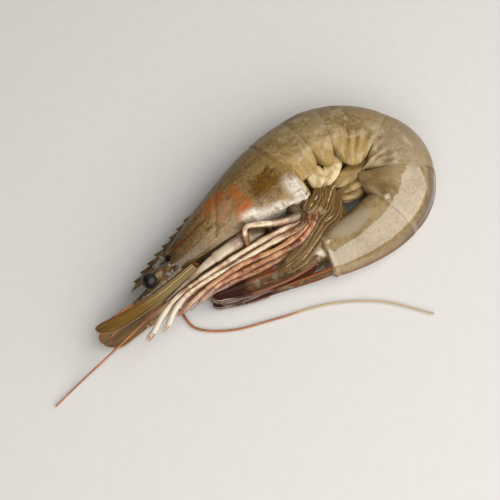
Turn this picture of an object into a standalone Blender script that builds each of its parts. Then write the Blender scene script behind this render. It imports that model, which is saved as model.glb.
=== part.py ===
"""A raw whiteleg shrimp, whole and curled, lying on its right side.

Units are metres with +Z up.  The animal's middle plane lies flat, so its left side
faces up.  Body places are given as (s, dorsal, lateral): s runs back from the tip of
the rostrum along the body's middle line, dorsal is the distance towards the back,
and lateral is the distance towards the animal's left, which is up.
"""

import math

import bmesh
import bpy
from mathutils import Vector

MM = 0.001

# ---- driving dimensions -------------------------------------------------------------
# The sizes below are in millimetres.  They become metres in body_point and radii().

ROSTRUM_TIP = 0.0
ORBIT = 11.0            # front edge of the carapace, beside the eyes
CARAPACE_END = 45.0
SEGMENT_LENGTHS = (8.0, 6.0, 11.5, 9.0, 9.5, 17.3)
TELSON_LENGTH = 22.0

HEAD_HEADING = 41.5     # degrees from +X, pointing from the rostrum to the tail
SEGMENT_TURNS = (6.0, 17.0, 43.0, 62.0, 43.0, 25.0)    # degrees, clockwise from above
TAIL_TURN = 3.0

CARAPACE_END_XY = (6.94, 18.2)   # puts the middle of the whole box over the origin
EDGE_LEAN = 0.09        # how far the first shell edges lean, for each mm from the middle

CLEARANCE = 0.4         # gap between pieces that touch on the animal
SHELL_STEP = 0.28       # how far the back edge of a shell ring stands proud
PLEURON_DROP = 2.4      # how far the side flaps of the rings hang below the belly

# Tables of (s, size): the outline of the body, as half sizes about the middle line.
DORSAL = (
    (11, 3.1), (14.5, 3.9), (20, 5.4), (26, 6.8), (33, 8.2), (40, 9.4), (46, 9.9), (53, 10.1),
    (59, 9.9), (65, 9.2), (70, 8.8), (79, 9.3), (88, 9.1), (97, 7.8), (106, 6.4),
)
VENTRAL = (
    (11, 3.2), (14.5, 3.8), (20, 4.7), (26, 5.8), (33, 7.5), (40, 9.7), (45, 10.4), (46, 4.9),
    (53, 3.9), (59, 3.5), (65, 3.5), (70, 3.8), (79, 4.4), (88, 4.9), (97, 4.9), (106, 4.3),
)
HALF_WIDTH = (
    (11, 2.8), (14.5, 3.6), (20, 4.9), (26, 6.2), (33, 7.5), (41, 8.1), (49, 7.7), (57, 7.6),
    (66, 7.4), (76, 7.0), (86, 6.4), (95, 5.6), (106, 4.6),
)
# Height of the middle plane over the floor: each ring is pressed 0.25 mm flat.
PLANE_HEIGHT = (
    (-60, 7.85), (41, 7.85), (49, 7.45), (57, 7.35), (66, 7.15), (76, 6.75), (86, 6.15),
    (95, 5.35), (106, 4.35), (115, 3.9), (140, 3.7),
)

LEANING = ((30, 0), (44, 1), (47, 1), (60, 0))      # (s, share of EDGE_LEAN)

# Half widths of the feelers' scales, from root to tip.
SCALE_WIDTH = ((0, 1.0), (0.25, 1.4), (0.5, 1.8), (0.75, 2.6), (0.9, 2.8), (1, 1.2))
WHIP_HEIGHT = 0.5       # of an antenna's middle over the floor

RING_POINTS = 24
SIDES = {"left": 1, "right": -1}

HEAD_SHELL = ("head_shell", (0.36, 0.27, 0.15), 0.25)
BODY_SHELL = ("body_shell", (0.47, 0.40, 0.27), 0.22)
TAIL_BLADE = ("tail_blade", (0.23, 0.11, 0.05), 0.30)
EYE = ("eye", (0.01, 0.01, 0.012), 0.08)
WALKING_LEG = ("walking_leg", (0.62, 0.46, 0.30), 0.25)
SWIMMERET = ("swimmeret", (0.56, 0.45, 0.27), 0.30)
FEELER = ("feeler", (0.45, 0.12, 0.05), 0.35)
SCALE = ("antennal_scale", (0.38, 0.26, 0.09), 0.30)


# ---- the body's middle line ---------------------------------------------------------

def smooth(table, x):
    """The value at x of a smooth curve through (place, value) pairs, level past its ends."""
    if x <= table[0][0]:
        return table[0][1]
    if x >= table[-1][0]:
        return table[-1][1]
    last = len(table) - 1
    i = max(k for k in range(last) if table[k][0] <= x)

    def slope(k):
        before, after = table[max(k - 1, 0)], table[min(k + 1, last)]
        return (after[1] - before[1]) / (after[0] - before[0])

    (x0, y0), (x1, y1) = table[i], table[i + 1]
    gap = x1 - x0
    t = (x - x0) / gap
    rise = (3 - 2 * t) * t * t
    leave = t * (1 - t) * (1 - t) * gap * slope(i)
    arrive = t * t * (1 - t) * gap * slope(i + 1)
    return y0 + (y1 - y0) * rise + leave - arrive


def segment_edges():
    """Where the carapace and each ring of the abdomen end, in mm along the middle line."""
    edges = [CARAPACE_END]
    for length in SEGMENT_LENGTHS:
        edges.append(edges[-1] + length)
    return edges


EDGES = segment_edges()
TAIL_START = EDGES[-1]


def heading_table():
    """(s, degrees) where each ring ends: straight along the head, then turning."""
    table = [(-200.0, HEAD_HEADING), (EDGES[0] - 4, HEAD_HEADING)]
    heading = HEAD_HEADING
    for edge, turn in zip(EDGES[1:], SEGMENT_TURNS):
        heading -= turn
        table.append((edge, heading))
    table.append((TAIL_START + TELSON_LENGTH, heading - TAIL_TURN))
    return table


HEADINGS = heading_table()
STEP = 0.25             # mm between the points of the worked-out middle line


def middle_line():
    """Points of the middle line behind the carapace's end, one every STEP mm."""
    x, y = CARAPACE_END_XY
    line = [(x, y)]
    steps = round((TAIL_START + TELSON_LENGTH + 8 - CARAPACE_END) / STEP)
    for k in range(steps):
        angle = math.radians(smooth(HEADINGS, CARAPACE_END + (k + 0.5) * STEP))
        x += STEP * math.cos(angle)
        y += STEP * math.sin(angle)
        line.append((x, y))
    return line


LINE = middle_line()


def body_point(s, dorsal=0.0, lateral=0.0):
    """The point in space, in metres, of a place given in the animal's own directions."""
    angle = math.radians(smooth(HEADINGS, s))
    if s <= CARAPACE_END:
        x = CARAPACE_END_XY[0] - (CARAPACE_END - s) * math.cos(angle)
        y = CARAPACE_END_XY[1] - (CARAPACE_END - s) * math.sin(angle)
    else:
        place = (s - CARAPACE_END) / STEP
        k = min(int(place), len(LINE) - 2)
        part = place - k
        x = LINE[k][0] + part * (LINE[k + 1][0] - LINE[k][0])
        y = LINE[k][1] + part * (LINE[k + 1][1] - LINE[k][1])
    x -= dorsal * math.sin(angle)
    y += dorsal * math.cos(angle)
    z = smooth(PLANE_HEIGHT, s) + lateral
    return Vector((x, y, max(z, 0.0))) * MM


def floor_point(x, y, height):
    """A point at a height over the floor, with x and y counted from the carapace's end."""
    return Vector((CARAPACE_END_XY[0] + x, CARAPACE_END_XY[1] + y, height)) * MM


# ---- ways to make a solid -----------------------------------------------------------

def start_scene():
    """Empties the scene and makes the collections for the parts and for the cutters."""
    for item in list(bpy.data.objects):
        bpy.data.objects.remove(item)
    parts = bpy.data.collections.new("raw_shrimp")
    helpers = bpy.data.collections.new("helpers")
    for collection in (parts, helpers):
        bpy.context.scene.collection.children.link(collection)
    return parts, helpers


PARTS, HELPERS = start_scene()


def material(finish):
    """The material of that name, made the first time it is asked for."""
    name, colour, roughness = finish
    found = bpy.data.materials.get(name)
    if found:
        return found
    made = bpy.data.materials.new(name)
    made.use_nodes = True
    shader = made.node_tree.nodes["Principled BSDF"]
    shader.inputs["Base Color"].default_value = (*colour, 1)
    shader.inputs["Roughness"].default_value = roughness
    shader.inputs["Metallic"].default_value = 0
    return made


def add_part(name, data, finish, collection=PARTS):
    """Links one named piece with its material."""
    piece = bpy.data.objects.new(name, data)
    data.materials.append(material(finish))
    collection.objects.link(piece)
    return piece


def loft(name, rings, finish):
    """A closed solid through rings with the same number of points."""
    shape = bmesh.new()
    loops = [[shape.verts.new(point) for point in ring] for ring in rings]
    count = len(loops[0])
    for near, far in zip(loops, loops[1:]):
        for i in range(count):
            j = (i + 1) % count
            shape.faces.new((near[i], near[j], far[j], far[i]))
    shape.faces.new(loops[0])
    shape.faces.new(loops[-1])
    bmesh.ops.recalc_face_normals(shape, faces=shape.faces)
    data = bpy.data.meshes.new(name)
    shape.to_mesh(data)
    shape.free()
    data.shade_smooth()
    data.set_sharp_from_angle(angle=math.radians(50))
    return add_part(name, data, finish)


def tube(name, points, radii, finish, sides=6):
    """A round rod through points in metres, whose radius in mm changes along it."""
    curve = bpy.data.curves.new(name, "CURVE")
    curve.dimensions = "3D"
    curve.bevel_depth = MM
    curve.bevel_resolution = (sides - 4) // 2
    curve.use_fill_caps = True
    spline = curve.splines.new("POLY")
    spline.points.add(len(points) - 1)
    for place, point, radius in zip(spline.points, points, radii):
        place.co = (*point, 1)
        place.radius = radius
    return add_part(name, curve, finish)


def from_body(place, step, sign):
    """A place as a point, or with a step from it as a direction.  sign picks the side."""
    s, dorsal, lateral = place
    point = body_point(s, dorsal, sign * lateral)
    if step is None:
        return point
    return body_point(s + step[0], dorsal + step[1], sign * (lateral + step[2])) - point


def blade(name, stations, finish, points=8):
    """A flat leaf.  Each station is (middle, along its width, along its thickness)."""
    rings = []
    for middle, width, thickness in stations:
        ring = []
        for k in range(points):
            angle = 2 * math.pi * k / points
            ring.append(middle + width * math.cos(angle) + thickness * math.sin(angle))
        rings.append(ring)
    return loft(name, rings, finish)


def spread(first, last, count):
    """count numbers at even steps from first to last."""
    return [first + (last - first) * k / (count - 1) for k in range(count)]


# ---- the shell ----------------------------------------------------------------------

def shell_ring(s, grow=0.0, drop=0.0, crest=2.0):
    """One outline across the body: a rounded back, and side flaps past a flatter belly."""
    up, down = smooth(DORSAL, s) + grow, smooth(VENTRAL, s) + grow
    wide = smooth(HALF_WIDTH, s) + grow
    lean = EDGE_LEAN * smooth(LEANING, s)
    ring = []
    for k in range(RING_POINTS):
        angle = 2 * math.pi * (k + 0.5) / RING_POINTS
        back, side = math.cos(angle), math.sin(angle)
        if back >= 0:
            dorsal = up * back ** (2 / crest)
        else:
            flap = max(0.0, 1 - ((abs(side) - 0.62) / 0.34) ** 2)
            dorsal = -down * (-back) ** 0.72 - drop * flap
        lateral = wide * math.copysign(abs(side) ** 0.86, side)
        ring.append(body_point(s - lean * dorsal, dorsal, lateral))
    return ring


def carapace():
    """The one-piece shell over the head and thorax, joined with its toothed rostrum."""
    places = [ORBIT, 16, 18, 20.5, 23, 26, 29, 32, 35, 38, 40.5, 43]
    places.append(CARAPACE_END - CLEARANCE / 2)
    rings = [shell_ring(s, grow=-0.2 * (s < ORBIT + 1), crest=1.75) for s in places]
    body = loft("carapace", rings, HEAD_SHELL)
    crest = rostrum()
    union = body.modifiers.new("rostrum", "BOOLEAN")
    union.operation = "UNION"
    union.object = crest


ROSTRUM_ROOT = 30.0     # where the toothed crest fades into the carapace
TOOTH_COUNT = 8
TOOTH_HEIGHT = 0.75


def rostrum():
    """The upright saw-edged blade on the head's middle line, as a helper to be joined on."""
    def crest_line(s):
        if s < ORBIT:
            return 1.3 + 2.55 * (s / ORBIT) ** 0.8
        fade = (s - ORBIT) / (ROSTRUM_ROOT - ORBIT)
        return smooth(DORSAL, s) + 0.85 * (1 - fade) - 0.1

    first, last = 3.0, 24.0
    pitch = (last - first) / TOOTH_COUNT
    top = [(ROSTRUM_TIP, 1.1)]
    for k in range(TOOTH_COUNT):
        front = first + k * pitch
        top.append((front, crest_line(front)))
        top.append((front - 0.25 * pitch, crest_line(front) + TOOTH_HEIGHT))
        top.append((front + 0.7 * pitch, crest_line(front + 0.7 * pitch)))
    top.append((ROSTRUM_ROOT, crest_line(ROSTRUM_ROOT) - 0.4))
    bottom = [(ROSTRUM_ROOT, 3.5), (ORBIT + 3, 2.2), (ORBIT - 1, 1.8), (5.0, 1.0)]
    outline = bpy.data.curves.new("rostrum_outline", "CURVE")
    outline.dimensions = "2D"
    outline.fill_mode = "BOTH"
    outline.extrude = 0.5 * MM
    spline = outline.splines.new("POLY")
    spline.points.add(len(top) + len(bottom) - 1)
    for place, (s, dorsal) in zip(spline.points, top + bottom):
        x, y, _ = body_point(s, dorsal)
        place.co = (x, y, 0, 1)
    spline.use_cyclic_u = True
    flat = bpy.data.objects.new("rostrum_flat", outline)
    flat.location.z = smooth(PLANE_HEIGHT, ROSTRUM_TIP) * MM
    HELPERS.objects.link(flat)
    return as_helper_mesh(flat, "rostrum_helper")


def as_helper_mesh(source, name):
    """A curve object turned into a closed mesh that only Booleans use."""
    bpy.context.view_layer.update()
    graph = bpy.context.evaluated_depsgraph_get()
    data = bpy.data.meshes.new_from_object(source.evaluated_get(graph))
    shape = bmesh.new()
    shape.from_mesh(data)
    bmesh.ops.remove_doubles(shape, verts=shape.verts, dist=1e-6)
    bmesh.ops.recalc_face_normals(shape, faces=shape.faces)
    shape.to_mesh(data)
    shape.free()
    helper = bpy.data.objects.new(name, data)
    helper.matrix_world = source.matrix_world
    helper.hide_render = True
    helper.display_type = "WIRE"
    HELPERS.objects.link(helper)
    bpy.data.objects.remove(source)
    return helper


def abdomen():
    """Six rings.  Each stands a little proud of the next, with flaps on all but the last."""
    for number, (front, back) in enumerate(zip(EDGES, EDGES[1:]), start=1):
        rings = []
        for t in (0, 0.14, 0.32, 0.5, 0.68, 0.86, 1):
            s = front + CLEARANCE / 2 + t * (back - front - CLEARANCE)
            flap = PLEURON_DROP * math.sqrt(max(0.0, 1 - (2 * t - 1) ** 2))
            if number == len(SEGMENT_LENGTHS):
                flap = 0
            rings.append(shell_ring(s, grow=SHELL_STEP * (2 * t - 1), drop=flap))
        loft(f"abdomen_ring_{number}", rings, BODY_SHELL)


# ---- the tail fan -------------------------------------------------------------------

def tail_fan():
    """The pointed telson, and on each side a short joint that carries two long blades."""
    telson = []
    for s in spread(TAIL_START + 0.4, TAIL_START + TELSON_LENGTH, 8):
        t = (s - TAIL_START) / TELSON_LENGTH
        slim = max(0.0, 1 - t) ** 0.75
        middle = body_point(s, 5.0 - 1.0 * t)
        width = body_point(s, 5.0 - 1.0 * t, 2.3 * slim + 0.25) - middle
        thick = body_point(s, 5.95 - 1.7 * t) - body_point(s, 5.0 - 1.0 * t)
        telson.append((middle, width, thick))
    blade("telson", telson, TAIL_BLADE)
    for side, sign in SIDES.items():
        tail_joint(side, sign)
        tail_blade(f"uropod_inner_{side}", sign, 26.5, 2.9, 1.0, 1.35)
        tail_blade(f"uropod_outer_{side}", sign, 28.5, 3.5, 0.7, 2.6)


def tail_joint(side, sign):
    """The stubby first joint of a uropod, beside the end of the last ring."""
    stations = []
    for s, high, thick in ((0.5, 1.9, 0.9), (2.0, 2.4, 1.2), (3.8, 2.0, 1.0)):
        middle = body_point(TAIL_START + s, -1.9, sign * 1.9)
        width = body_point(TAIL_START + s, -1.9 + high, sign * 1.9) - middle
        outward = body_point(TAIL_START + s, -1.9, sign * (1.9 + thick)) - middle
        stations.append((middle, width, outward))
    blade(f"uropod_joint_{side}", stations, BODY_SHELL)


def tail_blade(name, sign, length, half_width, dorsal, lateral):
    """One long leaf of the tail fan, widest past its middle, with a rounded end."""
    stations = []
    for t in (0, 0.12, 0.3, 0.5, 0.7, 0.85, 0.95, 1):
        s = TAIL_START + 4.6 + t * (length - 4.6)
        wide = half_width * math.sin(math.pi * (0.16 + 0.8 * t)) ** 0.6
        middle = body_point(s, dorsal, sign * lateral)
        width = body_point(s, dorsal + wide, sign * lateral) - middle
        outward = body_point(s, dorsal, sign * (lateral + 0.36)) - middle
        stations.append((middle, width, outward))
    blade(name, stations, TAIL_BLADE)


# ---- the head's parts ---------------------------------------------------------------

def eyes():
    """Round black eyes on short stalks, one on each side of the rostrum."""
    for side, sign in SIDES.items():
        root = body_point(ORBIT - 0.6, -0.5, sign * 1.8)
        centre = body_point(4.2, -1.1, sign * 4.3)
        way = (centre - root).normalized()
        tube(
            f"eyestalk_{side}",
            [root, root + (centre - root) * 0.35, centre - way * 2.25 * MM],
            [0.85, 1.15, 1.45],
            HEAD_SHELL,
        )
        shape = bmesh.new()
        bmesh.ops.create_uvsphere(shape, u_segments=12, v_segments=8, radius=1.9 * MM)
        data = bpy.data.meshes.new(f"eye_{side}")
        shape.to_mesh(data)
        shape.free()
        data.shade_smooth()
        eye = add_part(f"eye_{side}", data, EYE)
        eye.location = centre


def antennules():
    """The short inner feelers: a jointed stem with two fine whips."""
    for side, sign in SIDES.items():
        stem = [body_point(s, -2.4, sign * 0.95) for s in (10.2, 7.5, 4.5, 1.5, -1.6)]
        tube(f"antennule_stem_{side}", stem, [0.75, 0.8, 0.75, 0.62, 0.55], HEAD_SHELL)
        for whip, rise in (("upper", 0.42), ("lower", -0.42)):
            path = []
            for t in spread(0, 1, 6):
                path.append(
                    body_point(-2.0 - 8.5 * t, -2.4 + rise * (1 + 2.2 * t), sign * (0.95 + 0.6 * t))
                )
            tube(
                f"antennule_whip_{whip}_{side}", path, spread(0.3, 0.12, 6), FEELER, sides=4
            )


def antennal_scales():
    """The long leaf beside each eye that stiffens the head's front."""
    for side, sign in SIDES.items():
        stations = []
        for t in (0, 0.1, 0.25, 0.45, 0.65, 0.82, 0.94, 1):
            s = 13.4 - 25.4 * t
            wide = smooth(SCALE_WIDTH, t)
            depth = 4.8 + 0.6 * math.sin(math.pi * t) - 2.2 * t * t
            middle = (s, -depth, 3.0 + 1.4 * t)
            width = (0, 0.75 * wide, -0.55 * wide)
            thick = (0, 0.18, 0.26)
            stations.append([from_body(middle, step, sign) for step in (None, width, thick)])
        blade(f"antennal_scale_{side}", stations, SCALE)


def antennae():
    """The two long whips.  One runs straight on, and the other bends back past the tail."""
    left = [(13.4, -5.6, 0.6), (8, -5.9, 0.5), (2, -6.1, 0.0), (-5, -5.9, -2.0)]
    left += [(-13, -5.6, -4.6), (-21, -5.4, -6.6), (-29, -5.8, -7.35)]
    right = [(13.4, -6.0, -4.6), (8.5, -7.0, -5.0), (4, -8.2, -5.8)]
    on_floor = [(-23.5, -31), (-19.5, -35.5), (-11, -36), (0, -33), (12, -29.5), (24, -29)]
    on_floor += [(36, -32)]
    routes = {
        "left": [body_point(*place) for place in left],
        "right": [body_point(*place) for place in right]
        + [floor_point(x, y, WHIP_HEIGHT) for x, y in on_floor],
    }
    for side, route in routes.items():
        points = smooth_path(route, 30)
        radii = [max(0.42 - 0.2 * t, 0.9 - 3.5 * t) for t in spread(0, 1, len(points))]
        tube(f"antenna_{side}", points, radii, FEELER, sides=6)


def smooth_path(points, count):
    """count points along a smooth curve through the given ones, evenly by number."""
    tables = [
        [(i, point[axis]) for i, point in enumerate(points)] for axis in range(3)
    ]
    return [
        Vector([smooth(table, place) for table in tables])
        for place in spread(0, len(points) - 1, count)
    ]


# ---- legs and swimmerets ------------------------------------------------------------

LEG_COUNT = 5
FIRST_HIP = 39.5        # the upper legs come out behind the gill cover, in this order
HIP_PITCH = 1.8
FIRST_COXA = 26.5       # where the first leg of the lower side leaves the body
COXA_PITCH = 4.0
LEG_TIPS = (-5.5, -1.5, 3.5, 6.5, 9.0)       # how far forward each leg reaches, as s
TIP_DROPS = (4.2, 3.4, 1.8, 1.0, 0.5)        # how far each one bends down at its tip
# The lane nearest the body, as (s, depth below the middle line), and the next one's distance.
LANE = ((-4, 7.4), (3, 7.5), (6, 7.7), (12, 8.6), (20, 9.5), (31, 11.4), (37, 12.6), (42, 13.6))
LANE_PITCH = ((-4, 1.15), (6, 1.2), (20, 1.25), (31, 1.6), (37, 1.4), (42, 1.1))


def belly(s):
    """How far the belly lies from the middle line, away from the back."""
    return smooth(VENTRAL, s)


def lane_depth(s, number):
    """How deep a lane lies, counted from the one nearest the body."""
    return smooth(LANE, s) + number * smooth(LANE_PITCH, s)


def bend(low, high, x):
    """0 up to low, 1 from high on, and smooth between."""
    t = min(1.0, max(0.0, (x - low) / (high - low)))
    return t * t * (3 - 2 * t)


def walking_legs():
    """Five pairs, all swept forward under the head in lanes that don't touch."""
    for side, sign in SIDES.items():
        for number in range(LEG_COUNT):
            places = upper_leg(number) if sign > 0 else lower_leg(number)
            points = smooth_path([body_point(*place) for place in places], 18)
            radii = [0.60 - 0.20 * t for t in spread(0, 1, len(points))]
            radii[-1] = 0.15
            tube(f"walking_leg_{number + 1}_{side}", points, radii, WALKING_LEG)


def upper_leg(number):
    """A leg of the left side, as body places: out of the body, then forward in its lane."""
    if number == LEG_COUNT - 1:
        places = [(40.1, -11.0, 4.8), (39.2, -12.1, 5.2), (35, -10.6, 5.7), (31, -8.0, 6.2)]
        places += [(28.6, -6.7, 6.3), (27.2, -7.7, 5.9), (26.4, -9.2, 4.7), (25.6, -9.35, 3.2)]
        start, lane, high = 22.5, 1.5, 2.8
    else:
        hip = FIRST_HIP + HIP_PITCH * number
        places = [(hip, -11.3, 2.8), (39.6 + 1.2 * number, -12.2 - 0.72 * number, 3.4)]
        start, lane, high = 38.4 - 0.4 * number, number, 4.4
    for t in (0, 0.2, 0.45, 0.7, 0.84, 0.93, 1):
        s = start + (LEG_TIPS[number] - start) * t
        depth = lane_depth(s, lane) + TIP_DROPS[number] * bend(0.72, 1.02, t)
        places.append((s, -depth, high - 0.8 * t))
    return places


def lower_leg(number):
    """A leg of the right side, as body places: from its hip, then forward under the others."""
    coxa = FIRST_COXA + number * COXA_PITCH
    tip = LEG_TIPS[number] + 3
    places = [(coxa, -belly(coxa) - 0.95, -2.6)]
    for t in (0.14, 0.3, 0.5, 0.75, 0.9, 1):
        s = coxa + (tip - coxa) * t
        depth = lane_depth(s, (0.3 + 0.65 * number) * bend(-0.1, 0.4, t))
        places.append((s, -depth, 0.15 + 1.1 * (number % 2)))
    return places


def mouth_legs():
    """The third jaw legs, the broad pair along the edge of the shell."""
    for side, sign in SIDES.items():
        places = [(30.5, -8.6, 3.2), (26, -7.8, 3.4), (20, -7.2, 3.2), (15, -6.8, 2.9)]
        places += [(10, -6.7, 2.4), (4, -6.6, 1.8)]
        if side == "right":
            places[:2] = [(23, -7.5, 3.6)]
        points = smooth_path([body_point(s, d, sign * lateral) for s, d, lateral in places], 12)
        radii = [0.75 - 0.3 * t for t in spread(0, 1, len(points))]
        radii[-1] = 0.15
        tube(f"mouth_leg_{side}", points, radii, WALKING_LEG)


PADDLE_PLANE = 7.2      # height between the left paddles and the right ones
# Plan places in mm: each paddle's knee, and the line that all the strips then follow.
KNEES = ((15.6, 13.0), (17.4, 14.2), (19.8, 14.4), (21.0, 13.2), (20.2, 11.8))
BUNDLE = ((17.0, 9.7), (14.4, 6.0), (11.5, 0.1), (8.4, -4.6), (4.5, -8.5))
BUNDLE_SIDE = (0.8, -0.5)
STRIP_STEPS = {"left": (0.9, 0.3, 3.0, 3.6, 3.2), "right": (0.8, 1.0, 1.2, 1.2, 1.0)}


def swimmerets():
    """Five pairs of flat paddles, folded forward inside the body's curl."""
    for side, sign in SIDES.items():
        for number, (front, back) in enumerate(zip(EDGES[:5], EDGES[1:6])):
            swimmeret(number, side, sign, front + 0.7 * (back - front))


def swimmeret(number, side, sign, place):
    """One paddle in a layer of its own: a stem to its knee, then a long narrow leaf."""
    root = body_point(place, -belly(place) - PLEURON_DROP - 0.5)
    height = (PADDLE_PLANE + sign * (0.65 + (4 - number))) * MM
    aside = 0.7 * (number - 2)
    route = [Vector((root.x, root.y, height)), Vector((*KNEES[number], 0)) * MM]
    for step in spread(0, STRIP_STEPS[side][number], 4):
        x, y = (smooth(list(enumerate(axis)), step) for axis in zip(*BUNDLE))
        route.append(Vector((x + aside * BUNDLE_SIDE[0], y + aside * BUNDLE_SIDE[1], 0)) * MM)
    for point in route:
        point.z = height
    points = smooth_path(route, 12)
    last = len(points) - 1
    stations = []
    for k, point in enumerate(points):
        t = k / last
        way = (points[min(k + 1, last)] - points[max(k - 1, 0)]).normalized()
        wide = 0.55 + 0.75 * math.sin(math.pi * min(1, 1.05 * t)) ** 0.8
        thick = Vector((0, 0, (0.34 - 0.12 * t) * MM))
        stations.append((point, Vector((-way.y, way.x, 0)) * wide * MM, thick))
    blade(f"swimmeret_{number + 1}_{side}", stations, SWIMMERET)


carapace()
abdomen()
tail_fan()
eyes()
antennules()
antennal_scales()
antennae()
mouth_legs()
walking_legs()
swimmerets()
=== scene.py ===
# %% [markdown]
# # A raw whiteleg shrimp, whole and curled
#
# The animal lies on its right side with its tail tucked under its legs.  A plain solid
# for each of its parts is already in the scene.  This lesson makes a fine surface for
# each one, in the same place and at the same size, and hides the plain solid.
#
# A curled body is awkward to model straight in space.  It is much easier to say where a
# thing is on the animal: how far back from the tip of its beak, how far towards its back,
# and how far out to its left.  So nearly everything below is made in those three numbers,
# in millimetres, and one function turns them into points in space, in metres.

# %% Load the plain solids
import math

import bmesh
import bpy
import numpy as np
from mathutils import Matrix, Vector


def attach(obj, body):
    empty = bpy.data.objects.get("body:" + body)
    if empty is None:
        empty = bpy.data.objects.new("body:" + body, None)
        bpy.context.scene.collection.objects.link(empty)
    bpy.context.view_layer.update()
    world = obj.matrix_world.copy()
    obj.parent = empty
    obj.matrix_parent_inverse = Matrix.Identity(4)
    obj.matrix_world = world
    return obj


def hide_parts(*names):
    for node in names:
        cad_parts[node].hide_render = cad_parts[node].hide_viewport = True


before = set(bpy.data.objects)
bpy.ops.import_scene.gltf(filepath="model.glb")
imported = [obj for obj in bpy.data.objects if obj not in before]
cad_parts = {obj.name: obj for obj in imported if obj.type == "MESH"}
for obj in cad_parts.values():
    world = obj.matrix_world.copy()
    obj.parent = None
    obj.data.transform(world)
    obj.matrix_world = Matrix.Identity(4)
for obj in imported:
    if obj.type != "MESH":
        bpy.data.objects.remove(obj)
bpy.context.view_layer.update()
MM = 0.001
SIDES = {"left": 1, "right": -1}

# %% [markdown]
# ## Smooth curves through a few pairs of numbers
#
# The outline of the body is a short table of (place, size) pairs.  A curve object could
# hold it, but then its points would be hard to read back.  A cubic that passes through
# each pair, with the slope of its neighbours, is four lines of arithmetic.  It works on a
# whole array of places at once, which matters when a mesh has tens of thousands of points.


# %% A smooth table
def smooth(table, x):
    """Values at x of a smooth curve through (place, value) pairs, level past its ends."""
    places, values = np.array(table, float).T
    x = np.clip(np.asarray(x, float), places[0], places[-1])
    i = np.clip(np.searchsorted(places, x, side="right") - 1, 0, len(places) - 2)
    before = np.maximum(np.arange(len(places)) - 1, 0)
    after = np.minimum(np.arange(len(places)) + 1, len(places) - 1)
    slopes = (values[after] - values[before]) / (places[after] - places[before])
    gap = places[i + 1] - places[i]
    t = (x - places[i]) / gap
    rise = (3 - 2 * t) * t * t
    leave = t * (1 - t) * (1 - t) * gap * slopes[i]
    arrive = t * t * (1 - t) * gap * slopes[i + 1]
    return values[i] + (values[i + 1] - values[i]) * rise + leave - arrive


def hump(x, centre, width):
    """1 at the centre, fading to 0 over about twice the width."""
    return np.exp(-(((x - centre) / width) ** 2))


def fade(x, low, high):
    """0 up to low, 1 from high on, and smooth between.  Swap them to fall instead."""
    t = np.clip((np.asarray(x, float) - low) / (high - low), 0, 1)
    return t * t * (3 - 2 * t)


print("half way up a smooth step:", smooth(((0, 0), (1, 1)), 0.5))

# %% [markdown]
# ## The body's middle line
#
# The head is stiff and straight.  Behind it each ring of the abdomen turns a little more,
# which is what curls the animal.  The heading along the body is a smooth table too, and
# adding up small steps in that heading draws the middle line.  The turns and lengths are
# those of the plain solids, so that the fine surfaces fall in the same place.

# %% Lengths and turns of the rings
ROSTRUM_TIP, ORBIT, CARAPACE_END = 0.0, 11.0, 45.0
SEGMENT_LENGTHS = (8.0, 6.0, 11.5, 9.0, 9.5, 17.3)
SEGMENT_TURNS = (6.0, 17.0, 43.0, 62.0, 43.0, 25.0)
TELSON_LENGTH, TAIL_TURN = 22.0, 3.0
HEAD_HEADING = 41.5
CARAPACE_END_XY = (6.94, 18.2)
STEP = 0.25

EDGES = CARAPACE_END + np.concatenate([[0], np.cumsum(SEGMENT_LENGTHS)])
TAIL_START = EDGES[-1]


def heading_table():
    """(s, degrees) where each ring ends: straight along the head, then turning."""
    headings = HEAD_HEADING - np.cumsum(SEGMENT_TURNS)
    table = [(-200.0, HEAD_HEADING), (CARAPACE_END - 4, HEAD_HEADING)]
    table += list(zip(EDGES[1:], headings))
    return table + [(TAIL_START + TELSON_LENGTH, headings[-1] - TAIL_TURN)]


HEADINGS = heading_table()
LINE_PLACES = np.arange(CARAPACE_END, TAIL_START + TELSON_LENGTH + 8, STEP)
LINE_ANGLES = np.radians(smooth(HEADINGS, LINE_PLACES + STEP / 2))
LINE = np.array(CARAPACE_END_XY) + STEP * np.cumsum(
    [np.cos(LINE_ANGLES), np.sin(LINE_ANGLES)], axis=1
).T
LINE = np.vstack([CARAPACE_END_XY, LINE[:-1]])
print("the middle line is", round(TAIL_START + TELSON_LENGTH), "mm long")

# %% [markdown]
# ## Half sizes of the body, and the way into space
#
# Three tables hold the outline: how far the body reaches towards the back, towards the
# belly, and to each side.  A fourth says how high its middle plane lies over the floor,
# a little lower than the half width, because a soft body flattens where it rests.

# %% The outline tables
DORSAL = (
    (11, 3.1), (14.5, 3.9), (20, 5.4), (26, 6.8), (33, 8.2), (40, 9.4), (46, 9.9), (53, 10.1),
    (59, 9.9), (65, 9.2), (70, 8.8), (79, 9.3), (88, 9.1), (97, 7.8), (106, 6.4),
)
VENTRAL = (
    (11, 3.2), (14.5, 3.8), (20, 4.7), (26, 5.8), (33, 7.5), (40, 9.7), (45, 10.4), (46, 4.9),
    (53, 3.9), (59, 3.5), (65, 3.5), (70, 3.8), (79, 4.4), (88, 4.9), (97, 4.9), (106, 4.3),
)
HALF_WIDTH = (
    (11, 2.8), (14.5, 3.6), (20, 4.9), (26, 6.2), (33, 7.5), (41, 8.1), (49, 7.7), (57, 7.6),
    (66, 7.4), (76, 7.0), (86, 6.4), (95, 5.6), (106, 4.6),
)
PLANE_HEIGHT = (
    (-60, 7.85), (41, 7.85), (49, 7.45), (57, 7.35), (66, 7.15), (76, 6.75), (86, 6.15),
    (95, 5.35), (106, 4.35), (115, 3.9), (140, 3.7),
)


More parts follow.
